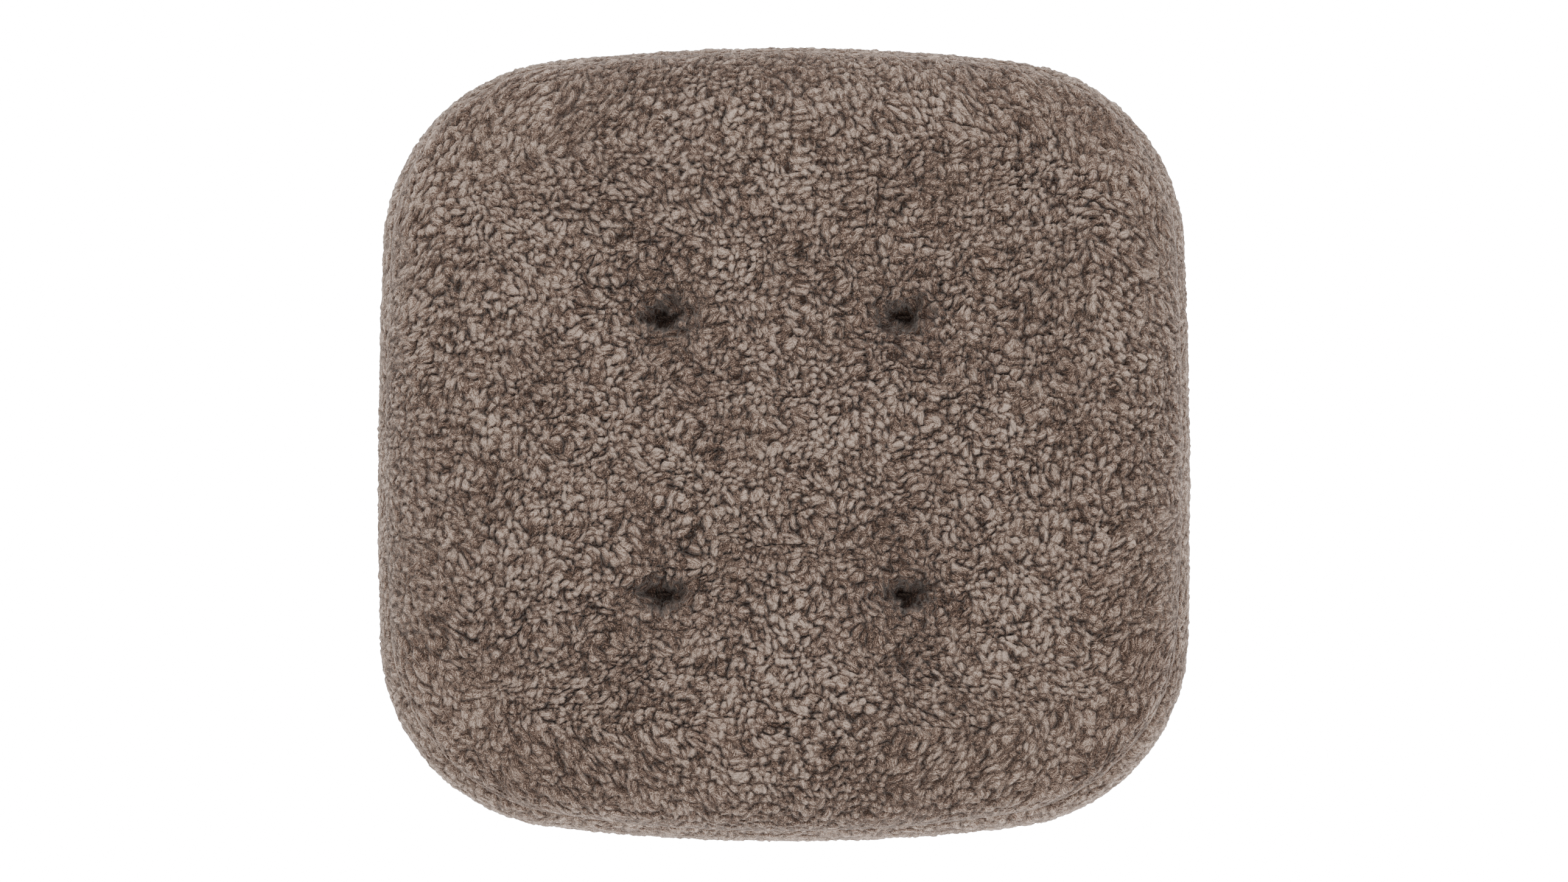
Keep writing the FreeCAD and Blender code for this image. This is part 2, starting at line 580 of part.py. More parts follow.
def tuft_twine(name, across, along):
    """One tuft's waxed twine, tied in a knot under its button."""
    body = new_body(name)
    top = f"({TUFT_FLOOR} + dims.twine_bend)"
    bottom = f"({BUTTON_BOTTOM} - dims.knot_radius)"
    path = twine_loop(body, across, along, top, bottom)
    section = new_sketch(body, "section", plane="YZ_Plane", across=along, level=across)
    circle = Part.Circle(FreeCAD.Vector(0, value(top), 0), FreeCAD.Vector(0, 0, 1), 1)
    strand = section.addGeometry(circle)
    section.addConstraint(Sketcher.Constraint("PointOnObject", strand, 3, -2))
    tie(section, "radius", "dims.twine_diameter / 2", "Radius", strand)
    tie(section, "level", top, "DistanceY", -1, 1, strand, 3)
    doc.recompute()
    pipe = body.newObject("PartDesign::AdditivePipe", f"{name}_strand")
    pipe.Profile = section
    pipe.Spine = (path, [])
    doc.recompute()
    knot = new_sketch(body, "knot_profile", plane="XZ_Plane", across=across, level=f"-({along})")
    knot.setExpression("AttachmentOffset.Base.y", bottom)
    doc.recompute()
    swell = "((dims.knot_length ^ 2 / 4 + dims.knot_radius ^ 2) / (2 * dims.knot_radius))"
    ball, half, rise = (value(size) for size in (swell, "dims.knot_length / 2", "dims.knot_radius"))
    lean = math.asin(half / ball)
    circle = Part.Circle(FreeCAD.Vector(0, rise - ball, 0), FreeCAD.Vector(0, 0, 1), ball)
    arc = knot.addGeometry(Part.ArcOfCircle(circle, math.pi / 2 - lean, math.pi / 2 + lean))
    chord = knot.addGeometry(Part.LineSegment(FreeCAD.Vector(-half, 0, 0), FreeCAD.Vector(half, 0, 0)))
    knot.addConstraint(Sketcher.Constraint("Coincident", arc, 2, chord, 1))
    knot.addConstraint(Sketcher.Constraint("Coincident", chord, 2, arc, 1))
    knot.addConstraint(Sketcher.Constraint("PointOnObject", chord, 1, -1))
    knot.addConstraint(Sketcher.Constraint("PointOnObject", chord, 2, -1))
    knot.addConstraint(Sketcher.Constraint("PointOnObject", arc, 3, -2))
    tie(knot, "swell", swell, "Radius", arc)
    tie(knot, "length", "dims.knot_length", "DistanceX", chord, 1, chord, 2)
    doc.recompute()
    turned = body.newObject("PartDesign::Revolution", f"{name}_knot")
    turned.Profile = knot
    turned.ReferenceAxis = (knot, ["H_Axis"])
    turned.Angle = 360
    doc.recompute()
    return body


def under_button(name, across, along):
    """A two-hole button that lies in a dimple of the base, its dished face down."""
    body = new_body(name)
    top = "dims.dimple_depth"

    def disc(feature_name, kind, level, length, radii, offset="0"):
        sketch = new_sketch(body, f"{feature_name}_plan", across=across, level=level)
        sketch.setExpression("AttachmentOffset.Base.y", along)
        doc.recompute()
        for number, radius in enumerate(radii):
            middle = FreeCAD.Vector(value(offset) * (1 - 2 * number), 0, 0)
            circle = sketch.addGeometry(Part.Circle(middle, FreeCAD.Vector(0, 0, 1), value(radius)))
            sketch.addConstraint(Sketcher.Constraint("PointOnObject", circle, 3, -1))
            tie(sketch, f"radius_{number}", radius, "Radius", circle)
            if len(radii) == 1:
                sketch.addConstraint(Sketcher.Constraint("PointOnObject", circle, 3, -2))
            else:
                ends = (-1, 1, circle, 3) if number == 0 else (circle, 3, -1, 1)
                tie(sketch, f"offset_{number}", offset, "DistanceX", *ends)
        feature = body.newObject(f"PartDesign::{kind}", f"{name}_{feature_name}")
        feature.Profile = sketch
        feature.setExpression("Length", length)
        if kind == "Pad":
            doc.recompute()
            return feature
        feature.Reversed = True
        return must_cut(body, feature)

    blank = disc("blank", "Pad", BUTTON_BOTTOM, f"{top} - {BUTTON_BOTTOM}", ["dims.button_diameter / 2"])
    round_edges(body, "rounded", blank, "dims.button_edge_radius", lambda p: True)
    disc("well", "Pocket", f"({BUTTON_BOTTOM} - 1)", "dims.button_well_depth + 1",
         ["dims.button_well_radius"])
    hole = "(dims.twine_diameter / 2 + dims.button_hole_clearance)"
    disc("eyes", "Pocket", f"({BUTTON_BOTTOM} - 1)", "dims.button_thickness + 2", [hole, hole],
         "dims.leg_spacing / 2")
    return body


def closing_stitches():
    """Short hand stitches along the rear base seam, in a row round the rear arc's own centre."""
    body = new_body("closing_stitches")
    line = "(dims.end_arc_radius - dims.seam_inset + dims.closing_thread / 2)"
    level = "(dims.base_thickness - dims.closing_thread / 2)"
    span = f"(dims.closing_length / {line} * 180 / pi)"
    section = new_sketch(body, "section", plane="YZ_Plane")
    middle = FreeCAD.Vector(value(line), value(level), 0)
    thread = section.addGeometry(Part.Circle(middle, FreeCAD.Vector(0, 0, 1), 1))
    tie(section, "radius", "dims.closing_thread / 2", "Radius", thread)
    tie(section, "line", line, "DistanceX", -1, 1, thread, 3)
    tie(section, "level", level, "DistanceY", -1, 1, thread, 3)
    stitch = pad(body, "stitch", section, "dims.stitch_length")
    stitch.Midplane = True
    row = body.newObject("PartDesign::PolarPattern", "closing_stitches_row")
    row.Originals = [stitch]
    row.Axis = (next(f for f in body.Origin.OriginFeatures if f.Role == "Z_Axis"), [""])
    row.setExpression("Angle", span)
    row.setExpression("Occurrences", "dims.stitch_count")
    body.Tip = row
    body.setExpression("Placement.Base.y", "dims.pad_depth / 2 - dims.end_arc_radius")
    body.setExpression("Placement.Rotation.Angle", f"-{span} / 2")
    doc.recompute()
    return body


top_panel()
side_band()
base_panel()
foam_core()
lower_wadding()
upper_wadding()
edge_wadding()
seam_thread("top_seam_thread", TOP_THREAD)
seam_thread("base_seam_thread", BASE_THREAD)
closing_stitches()
for end_name, end in (("front", -1), ("rear", 1)):
    for side_name, side in (("left", -1), ("right", 1)):
        place = tuft_place(side, end)
        tuft_twine(f"{end_name}_{side_name}_twine", *place)
        under_button(f"{end_name}_{side_name}_button", *place)

doc.recompute()
broken = [o.Label for o in doc.Objects if {"Invalid", "Error"} & set(o.State)]
if broken:
    raise RuntimeError(f"failed: {broken}")
os.makedirs("parts", exist_ok=True)
for body in doc.findObjects("PartDesign::Body"):
    shape = body.Shape
    if shape.isNull() or not shape.isValid():
        raise RuntimeError(f"{body.Label} has no valid shape")
    print(body.Label, round(shape.Volume), [round(x, 1) for x in (
        shape.BoundBox.XLength, shape.BoundBox.YLength, shape.BoundBox.ZMin, shape.BoundBox.ZMax)])
    shape.exportStep(f"parts/{body.Label}.step")
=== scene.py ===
# %% [markdown]
# # A tufted shearling seat pad
# The pad is a square cushion with round corners. Its top and its side band are short curly fleece on
# hide, its base is flat cloth, and four twine tufts pull the top down to buttons underneath.
# The CAD frame gives the sizes and places. The cover is worked out as a smooth surface on a grid,
# swelled by a cloth simulation, and then covered with modelled curls.

# %% Load the frame
import json
import math
import time
import bpy
import numpy as np
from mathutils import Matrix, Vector

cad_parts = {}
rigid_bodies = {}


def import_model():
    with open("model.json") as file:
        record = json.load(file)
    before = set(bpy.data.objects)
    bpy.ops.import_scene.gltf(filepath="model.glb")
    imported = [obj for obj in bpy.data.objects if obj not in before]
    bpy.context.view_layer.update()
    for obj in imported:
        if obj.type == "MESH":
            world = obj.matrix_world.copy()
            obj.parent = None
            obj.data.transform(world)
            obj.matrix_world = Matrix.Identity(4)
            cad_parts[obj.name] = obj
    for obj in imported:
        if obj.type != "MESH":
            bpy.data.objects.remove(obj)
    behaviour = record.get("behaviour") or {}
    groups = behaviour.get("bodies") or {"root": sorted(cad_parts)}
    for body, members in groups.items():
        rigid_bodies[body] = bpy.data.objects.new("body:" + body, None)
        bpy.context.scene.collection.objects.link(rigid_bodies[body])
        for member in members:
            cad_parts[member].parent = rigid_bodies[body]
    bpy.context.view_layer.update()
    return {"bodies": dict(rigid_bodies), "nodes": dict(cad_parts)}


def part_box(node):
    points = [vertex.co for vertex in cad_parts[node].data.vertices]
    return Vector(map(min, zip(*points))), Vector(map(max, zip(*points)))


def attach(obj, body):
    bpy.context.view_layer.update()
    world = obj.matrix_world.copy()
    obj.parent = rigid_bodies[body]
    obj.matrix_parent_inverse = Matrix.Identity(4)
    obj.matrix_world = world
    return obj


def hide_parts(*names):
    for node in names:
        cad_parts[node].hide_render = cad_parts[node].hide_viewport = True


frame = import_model()
MM = 0.001
BODY = "root" if "root" in frame["bodies"] else sorted(frame["bodies"])[0]
started = time.time()

# %% [markdown]
# ## Places and sizes
# The overall sizes, the seam's height and the tufts' places are read from the frame's boxes, so the
# wool follows the frame if a size there changes. The plan's radii are the same as the frame's.

# %% Sizes
band_low, band_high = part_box("side_band")
top_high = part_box("top_panel")[1]
HALF_WIDTH = (band_high.x - band_low.x) / 2
HALF_DEPTH = (band_high.y - band_low.y) / 2
CORNER_RADIUS = 95 * MM
END_RADIUS = 970 * MM
SIDE_RADIUS = 3400 * MM
SEAM_HEIGHT = band_high.z
CROWN_HEIGHT = top_high.z
COVER_THICKNESS = 9 * MM
SEAM_INSET = 5 * MM
TUFTS = []
for end in ("front", "rear"):
    for side in ("left", "right"):
        low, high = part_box(f"{end}_{side}_button")
        TUFTS.append(((low.x + high.x) / 2, (low.y + high.y) / 2))
TUFTS = np.array(TUFTS)
print("pad", round(2 * HALF_WIDTH, 4), round(2 * HALF_DEPTH, 4), "tufts", TUFTS.round(4).tolist())

# %% [markdown]
# ## The plan
# Seen from above, the pad is eight arcs that run into each other: four long shallow sides and four
# corners. A point on it is found from its distance along the line, and an inner line is the same line
# moved in along its normals. That gives columns of points that stay square to the edge all round.

# %% The outline
def corner_centre():
    """Centre of the corner arc that touches an end arc and a side arc from inside."""
    end_centre = np.array([0, HALF_DEPTH - END_RADIUS])
    side_centre = np.array([HALF_WIDTH - SIDE_RADIUS, 0])
    between = side_centre - end_centre
    gap = np.hypot(*between)
    end, side = END_RADIUS - CORNER_RADIUS, SIDE_RADIUS - CORNER_RADIUS
    along = (gap**2 + end**2 - side**2) / (2 * gap)
    across = math.sqrt(end**2 - along**2)
    unit = between / gap
    return end_centre + unit * along + np.array([unit[1], -unit[0]]) * across


CX, CY = corner_centre()
LOW_ANGLE = math.atan2(CY, CX - (HALF_WIDTH - SIDE_RADIUS))
HIGH_ANGLE = math.atan2(CY - (HALF_DEPTH - END_RADIUS), CX)
CORNER_MIDDLE = (LOW_ANGLE + HIGH_ANGLE) / 2
HALF_TURN = math.pi
ARCS = np.array([  # centre x, centre y, radius, first angle, last angle
    (CX, -CY, CORNER_RADIUS, -CORNER_MIDDLE, -LOW_ANGLE),
    (HALF_WIDTH - SIDE_RADIUS, 0, SIDE_RADIUS, -LOW_ANGLE, LOW_ANGLE),
    (CX, CY, CORNER_RADIUS, LOW_ANGLE, HIGH_ANGLE),
    (0, HALF_DEPTH - END_RADIUS, END_RADIUS, HIGH_ANGLE, HALF_TURN - HIGH_ANGLE),
    (-CX, CY, CORNER_RADIUS, HALF_TURN - HIGH_ANGLE, HALF_TURN - LOW_ANGLE),
    (SIDE_RADIUS - HALF_WIDTH, 0, SIDE_RADIUS, HALF_TURN - LOW_ANGLE, HALF_TURN + LOW_ANGLE),
    (-CX, -CY, CORNER_RADIUS, HALF_TURN + LOW_ANGLE, HALF_TURN + HIGH_ANGLE),
    (0, END_RADIUS - HALF_DEPTH, END_RADIUS, HALF_TURN + HIGH_ANGLE, 2 * HALF_TURN - HIGH_ANGLE),
    (CX, -CY, CORNER_RADIUS, 2 * HALF_TURN - HIGH_ANGLE, 2 * HALF_TURN - CORNER_MIDDLE),
])
ARC_STARTS = np.concatenate([[0], np.cumsum(ARCS[:, 2] * (ARCS[:, 4] - ARCS[:, 3]))])
PERIMETER = ARC_STARTS[-1]
QUARTERS = np.array([
    0,
    ARC_STARTS[2] + (CORNER_MIDDLE - LOW_ANGLE) * CORNER_RADIUS,
    ARC_STARTS[4] + (HIGH_ANGLE - CORNER_MIDDLE) * CORNER_RADIUS,
    ARC_STARTS[6] + (CORNER_MIDDLE - LOW_ANGLE) * CORNER_RADIUS,
    PERIMETER,
])


def outline(distance):
    """Plan points at distances along the line from the middle of the front right corner, going
    anticlockwise, and the outward normals there: centre plus radius times the angle's direction."""
    distance = np.mod(distance, PERIMETER)
    arc = np.clip(np.searchsorted(ARC_STARTS, distance, side="right") - 1, 0, len(ARCS) - 1)
    x, y, radius, first, _ = ARCS[arc].T
    angle = first + (distance - ARC_STARTS[arc]) / radius
    normal = np.stack([np.cos(angle), np.sin(angle)], -1)
    return np.stack([x, y], -1) + radius[:, None] * normal, normal


def columns(count):
    """Distances along the outline of 4 * count columns, evenly spaced within each quarter."""
    part = np.arange(4 * count) / count
    return np.interp(part, np.arange(5), QUARTERS)


print("perimeter", round(PERIMETER, 4))

# %% [markdown]
# ## Noise on a grid
# Wool is irregular at every scale. Smooth value noise mixes random numbers kept at whole-number
# places with an S-shaped weight. Round the band its steps are fitted to the outline's length, so that
# the pattern meets itself.

# %% Value noise
def steps_of(x, y, spacing, around):
    """Coordinates counted in steps of about spacing, and how many steps pass before a repeat."""
    if around is None:
        return x / spacing, y / spacing, (256, 256)
    whole = max(round(around / spacing), 1)
    return x * whole / around, y * whole / around, (whole, 256)


def noise(x, y, spacing, seed, around=None):
    """Value noise from -1 to 1: four random corner values mixed with weight f * f * (3 - 2 * f)."""
    x, y, (wrap_x, wrap_y) = steps_of(x, y, spacing, around)
    table = np.random.default_rng(seed).uniform(-1, 1, (wrap_x, wrap_y))
    i, j = np.floor(x).astype(int), np.floor(y).astype(int)
    fx, fy = x - i, y - j
    fx, fy = fx * fx * (3 - 2 * fx), fy * fy * (3 - 2 * fy)
    i, j, i1, j1 = i % wrap_x, j % wrap_y, (i + 1) % wrap_x, (j + 1) % wrap_y
    low = table[i, j] * (1 - fx) + table[i1, j] * fx
    high = table[i, j1] * (1 - fx) + table[i1, j1] * fx
    return low * (1 - fy) + high * fy


# %% [markdown]
# ## The smooth cover
# Before the wool, the cover is a smooth skin. The top is a square block of cells in the middle and a
# ring of columns round it, so that no point of the grid is pinched. The height is a low crown that
# rolls down to the seam like a quarter of a superellipse, with a dimple at each tuft.

# %% The top's shape
BLOCK = 0.112  # half side of the middle block
BLOCK_PULL = 0.1  # how far its corners are drawn in
ROLL_WIDTH = 0.042  # how far in from the seam the top rolls over
ROLL_POWER = 2.5
CREST = CROWN_HEIGHT - 1.2 * MM  # the skin's crown, under the curl tips
DOME_RISE = 4.5 * MM
RIM_RISE = CREST - DOME_RISE - SEAM_HEIGHT
PIT_DEPTH = 14 * MM
PIT_RADIUS = 8.3 * MM
DISH_DEPTH = 4.2 * MM
DISH_RADIUS = 27 * MM
CORNER_DRAW = 4.5 * MM  # how much further in the seam runs at the front corners
CORNER_LIFT = 2 * MM  # and how much higher


def corner_weight(distance):
    """1 at the middle of each corner, falling off along the outline; front corners count fully."""
    corners = QUARTERS[:4]
    gap = np.abs(distance[:, None] - corners[None, :])
    gap = np.minimum(gap, PERIMETER - gap)
    strength = np.array([1.0, 0.35, 0.35, 1.0])
    return (strength * np.exp(-((gap / 0.085) ** 2))).max(1)


def pinch(x, y):
    """1 in the middle of each tuft's pit, falling to 0 outside its uneven, slit-like outline:
    e to the minus 2.4th power of a distance that is stretched across and pushed about by noise."""
    push_x = 3.4 * MM * noise(x / MM, y / MM, 5.5, 301)
    push_y = 3.4 * MM * noise(x / MM, y / MM, 5.5, 302)
    weight = np.zeros_like(x)
    for cx, cy in TUFTS:
        r = np.hypot((x + push_x - cx) * 0.75, (y + push_y - cy) * 1.25)
        weight = np.maximum(weight, np.exp(-((r / PIT_RADIUS) ** 2.4)))
    return weight


def tuft_dip(x, y):
    """Depth of the skin below the crown: at each tuft a narrow pit inside a wide shallow dish."""
    dip = PIT_DEPTH * pinch(x, y)
    for cx, cy in TUFTS:
        dip += DISH_DEPTH / (1 + (np.hypot(x - cx, y - cy) / DISH_RADIUS) ** 3)
    return dip


def crown(x, y):
    """Height of the open top, without the roll to the seam: a low dome less the tufts' dips."""
    across = (x / HALF_WIDTH) ** 2 + (y / HALF_DEPTH) ** 2
    return DOME_RISE * (1 - across) - tuft_dip(x, y)


def block_plan(count):
    """Plan points of the middle block, (count + 1) each way, its corners drawn in a little."""
    u, v = np.meshgrid(np.linspace(-1, 1, count + 1), np.linspace(-1, 1, count + 1), indexing="ij")
    x = BLOCK * u * (1 - BLOCK_PULL * v * v)
    y = BLOCK * v * (1 - BLOCK_PULL * u * u)
    return x, y


def block_edge(grid):
    """The block's edge values, anticlockwise from its front right corner."""
    return np.concatenate([grid[-1, :-1], grid[:0:-1, -1], grid[0, :0:-1], grid[:-1, 0]])


def block_border(count):
    """Plan points of the block's edge, in the order of the ring's columns."""
    x, y = block_plan(count)
    return np.stack([block_edge(x), block_edge(y)], -1)


def top_block(count):
    """The skin over the middle block."""
    x, y = block_plan(count)
    z = SEAM_HEIGHT + RIM_RISE + crown(x, y)
    return np.stack([x, y, z], -1)


def top_ring(count, flat_rows, roll_rows):
    """The skin from the block out to the seam: straight rows to the roll, then the rolled edge, whose
    inset and height go round a quarter of a superellipse and end tucked into the seam."""
    distance = columns(count)
    edge, normal = outline(distance)
    weight = corner_weight(distance)
    seam = SEAM_INSET + CORNER_DRAW * weight
    lift = CORNER_LIFT * weight
    inner = block_border(count)
    outer = edge - normal * (seam + ROLL_WIDTH)[:, None]
    part = (np.arange(flat_rows) / flat_rows)[:, None, None]
    flat = inner * (1 - part) + outer * part
    flat_z = SEAM_HEIGHT + RIM_RISE + crown(flat[..., 0], flat[..., 1])
    angle = (np.arange(roll_rows + 1) / roll_rows)[:, None] * (math.pi / 2)
    out = np.sin(angle) * 0.55 + np.sin(angle) ** 1.3 * 0.45
    up = np.maximum(1 - out**ROLL_POWER, 0) ** (1 / ROLL_POWER)
    inset = seam + ROLL_WIDTH * (1 - out)
    plan = edge[None] - normal[None] * inset[..., None]
    roll_z = SEAM_HEIGHT + lift + up * (RIM_RISE - lift + crown(plan[..., 0], plan[..., 1]))
    rows = np.concatenate([flat, plan])
    return np.concatenate([rows, np.concatenate([flat_z, roll_z])[..., None]], -1)


# %% The band's shape
BAND_LOW = 0.8 * MM
BAND_HIGH = SEAM_HEIGHT + 0.6 * MM
BAND_POWER = 2.3
PROUD = 0.4 * MM  # room left outside the skin for the curl tips


def band_ring(count, rows):
    """The skin of the side band, from the top seam round to the base seam. Its section goes round half
    a superellipse whose depth is the cover's thickness."""
    distance = columns(count)
    edge, normal = outline(distance)
    weight = corner_weight(distance)
    draw = CORNER_DRAW * weight
    angle = (np.arange(rows + 1) / rows)[:, None] * math.pi
    across = np.sin(angle) ** (2 / BAND_POWER)
    height = np.sign(np.cos(angle)) * np.abs(np.cos(angle)) ** (2 / BAND_POWER)
    upper = np.clip(height, 0, 1) ** 1.5
    depth = COVER_THICKNESS + draw[None] * upper
    inset = PROUD + depth * (1 - across)
    plan = edge[None] - normal[None] * inset[..., None]
    high = BAND_HIGH + CORNER_LIFT * weight
    z = (high + BAND_LOW) / 2 + (high - BAND_LOW) / 2 * height
    return np.concatenate([plan, z[..., None]], -1)


# %% [markdown]
# ## Meshes from grids
# A block and a ring share the block's edge points. The helpers below number the points once, list the
# four-sided faces, and hand everything to the mesh in whole arrays.

# %% Mesh helpers
def number_rows(rows, first=0):
    """Point numbers of rows of points, counted on from the first."""
    return first + np.arange(rows.shape[0] * rows.shape[1]).reshape(rows.shape[:2])


def ring_faces(index):
    """Quads of a ring of points index[row, column], closed round its columns."""
    a, b = index[:-1], index[1:]
    c, d = np.roll(b, -1, 1), np.roll(a, -1, 1)
    return np.stack([a, b, c, d], -1).reshape(-1, 4)


def block_faces(index):
    """Quads of a block of points index[i, j]."""
    return np.stack([index[:-1, :-1], index[1:, :-1], index[1:, 1:], index[:-1, 1:]], -1).reshape(-1, 4)


def block_index(count, edge_index, first_free):
    """Point numbers of a block whose edge is the ring's first row and whose inside is numbered on."""
    index = np.empty((count + 1, count + 1), int)
    index[1:-1, 1:-1] = first_free + np.arange((count - 1) ** 2).reshape(count - 1, count - 1)
    index[-1, :-1] = edge_index[:count]
    index[:0:-1, -1] = edge_index[count:2 * count]
    index[0, :0:-1] = edge_index[2 * count:3 * count]
    index[:-1, 0] = edge_index[3 * count:]
    return index


def join_rows(fine, coarse):
    """Triangles between a fine closed row of points and a coarse one, from the fine row outwards."""
    step = len(fine) // len(coarse)
    here, following = coarse, np.roll(coarse, -1)
    fine = fine.reshape(len(coarse), step)
    after = np.roll(fine.reshape(-1), -1).reshape(len(coarse), step)
    faces = []
    for number in range(step):
        tip = here if number < step // 2 else following
        faces.append(np.stack([fine[:, number], tip, after[:, number]], -1))
    faces.append(np.stack([after[:, step // 2 - 1], here, following], -1))
    return np.concatenate(faces)


def make_mesh(name, points, quads, triangles=None):
    """A smooth-shaded mesh object from whole arrays: the quads first, then any triangles."""
    parts = [quads] if triangles is None else [quads, triangles]
    corners = np.concatenate([part.reshape(-1) for part in parts])
    sizes = np.concatenate([np.full(len(part), part.shape[1]) for part in parts])
    mesh = bpy.data.meshes.new(name)
    mesh.vertices.add(len(points))
    mesh.vertices.foreach_set("co", np.asarray(points, np.float32).reshape(-1))
    mesh.loops.add(len(corners))
    mesh.loops.foreach_set("vertex_index", corners.astype(np.int32))
    mesh.polygons.add(len(sizes))
    mesh.polygons.foreach_set("loop_start", np.concatenate([[0], np.cumsum(sizes)[:-1]]).astype(np.int32))
    mesh.polygons.foreach_set("use_smooth", np.ones(len(sizes), bool))
    mesh.update(calc_edges=True)
    piece = bpy.data.objects.new(name, mesh)
    bpy.context.scene.collection.objects.link(piece)
    return piece


def point_normals(points, quads):
    """Outward normals: each quad's diagonal cross product, summed at its four corners."""
    a, b, c, d = (points[quads[:, corner]] for corner in range(4))
    face = np.cross(c - a, d - b)
    total = np.stack([
        sum(np.bincount(quads[:, corner], face[:, axis], len(points)) for corner in range(4))
        for axis in range(3)
    ], -1)
    return total / np.maximum(np.linalg.norm(total, axis=1, keepdims=True), 1e-12)


# %% [markdown]
# ## Swelling the cover
# A stuffed cover swells between the places that hold it. A coarse copy of the whole skin is blown up a
# little by a cloth simulation, held at the base, along the seams and at the tufts. How far each point
# moved is kept, capped, and spread smoothly over the fine grids.

# %% Grid counts
COARSE = 48
FINE = 10
FLAT_ROWS, ROLL_ROWS, BAND_ROWS, BASE_ROWS = 7, 11, 10, 6
SWELL_CAP = 6 * MM
SWELL_PRESSURE = 4.0
SWELL_FRAMES = 20
TUFT_HOLD = 9 * MM  # radius that each tuft holds down
UNDER_GAP = 0.3 * MM  # height of the coarse skin's flat under side


def coarse_skin():
    """The whole closed skin on coarse grids: points, quads and where its parts are."""
    ring = top_ring(COARSE, FLAT_ROWS, ROLL_ROWS)
    band = band_ring(COARSE, BAND_ROWS)
    block = top_block(COARSE)
    x, y = block_plan(COARSE)
    rim = band[-1, :, :2]
    inner = block_border(COARSE)
    part = (np.arange(1, BASE_ROWS + 1) / BASE_ROWS)[:, None, None]
    plan = rim[None] * (1 - part) + inner[None] * part
    under = np.concatenate([plan, np.full(plan.shape[:2] + (1,), UNDER_GAP)], -1)
    base_block = np.stack([x, y, np.full_like(x, UNDER_GAP)], -1)
    rows = np.concatenate([ring, band, under])
    index = number_rows(rows)
    top_index = block_index(COARSE, index[0], index.size)
    base_index = block_index(COARSE, index[-1], index.size + (COARSE - 1) ** 2)
    points = np.concatenate([
        rows.reshape(-1, 3), block[1:-1, 1:-1].reshape(-1, 3), base_block[1:-1, 1:-1].reshape(-1, 3)
    ])
    quads = np.concatenate([ring_faces(index), block_faces(top_index), block_faces(base_index)[:, ::-1]])
    return points, quads, index, top_index, ring.shape[0], band.shape[0]


def swell():
    """Runs the cloth simulation and returns the capped movements of the top block, ring and band."""
    points, quads, index, top_index, ring_rows, band_rows = coarse_skin()
    skin = make_mesh("swelling_skin", points, quads)
    held = np.zeros(len(points))
    held[index[ring_rows - 1:ring_rows + 1].ravel()] = 1
    held[index[ring_rows + band_rows - 1:].ravel()] = 1
    held[index.size + (COARSE - 1) ** 2:] = 1
    for cx, cy in TUFTS:
        held[np.hypot(points[:, 0] - cx, points[:, 1] - cy) < TUFT_HOLD] = 1
    group = skin.vertex_groups.new(name="held")
    group.add(np.flatnonzero(held > 0).tolist(), 1.0, "REPLACE")
    cloth = skin.modifiers.new("Cloth", "CLOTH")
    settings = cloth.settings
    settings.quality = 5
    settings.mass = 0.3
    settings.tension_stiffness = settings.compression_stiffness = 20
    settings.shear_stiffness = 8
    settings.bending_stiffness = 4
    settings.use_pressure = True
    settings.uniform_pressure_force = SWELL_PRESSURE
    settings.vertex_group_mass = "held"
    settings.effector_weights.gravity = 0
    cloth.collision_settings.use_collision = False
    scene = bpy.context.scene
    for number in range(1, SWELL_FRAMES + 1):
        scene.frame_set(number)
    swollen = skin.evaluated_get(bpy.context.evaluated_depsgraph_get())
    moved = np.empty(len(points) * 3, np.float32)
    swollen.data.vertices.foreach_get("co", moved)
    scene.frame_set(1)
    shift = moved.reshape(-1, 3).astype(float) - points
    bpy.data.objects.remove(skin)
    far = np.linalg.norm(shift, axis=1, keepdims=True)
    print("swelling: mean", (far.mean() / MM).round(2), "most", (far.max() / MM).round(2), "mm")
    shift *= SWELL_CAP / (SWELL_CAP + far)
    ring = shift[index[:ring_rows]]
    band = shift[index[ring_rows:ring_rows + band_rows]]
    return shift[top_index], ring, band


def refine(grid, axis, times, closed):
    """Catmull-Rom values between coarse grid lines along one axis, times to each gap."""
    grid = np.moveaxis(grid, axis, 0)
    count = len(grid)
    if closed:
        at = np.arange(count * times) / times
    else:
        at = np.arange((count - 1) * times + 1) / times
        grid = np.concatenate([2 * grid[:1] - grid[1:2], grid, 2 * grid[-1:] - grid[-2:-1]])
    low = np.floor(at).astype(int)
    if closed:
        a, b, c, d = (grid[(low + k) % count] for k in (-1, 0, 1, 2))
    else:
        low = np.minimum(low, count - 2)
        a, b, c, d = (grid[low + k] for k in (0, 1, 2, 3))
    f = (at - low).reshape((-1,) + (1,) * (grid.ndim - 1))
    out = b + 0.5 * f * (c - a + f * (2 * a - 5 * b + 4 * c - d + f * (3 * (b - c) + d - a)))
    return np.moveaxis(out, 0, axis)


block_shift, ring_shift, band_shift = swell()
block_shift = refine(refine(block_shift, 0, FINE, False), 1, FINE, False)
ring_shift = refine(refine(ring_shift, 0, FINE, False), 1, FINE, True)
band_shift = refine(refine(band_shift, 0, FINE, False), 1, FINE, True)
print("swelled after", round(time.time() - started, 1), "s")

# %% [markdown]
# ## Curls
# Short shearling lies in small curls, each a bent, leaning lock 3 to 5 mm across with a dark gap round
# it. Particle hair would be the usual way, but hair isn't kept when a model is exported. So the curls
# are modelled: the skin's flat cloth is divided into jittered cells, each cell holds one lock, and the
# height at a point is the highest lock there.

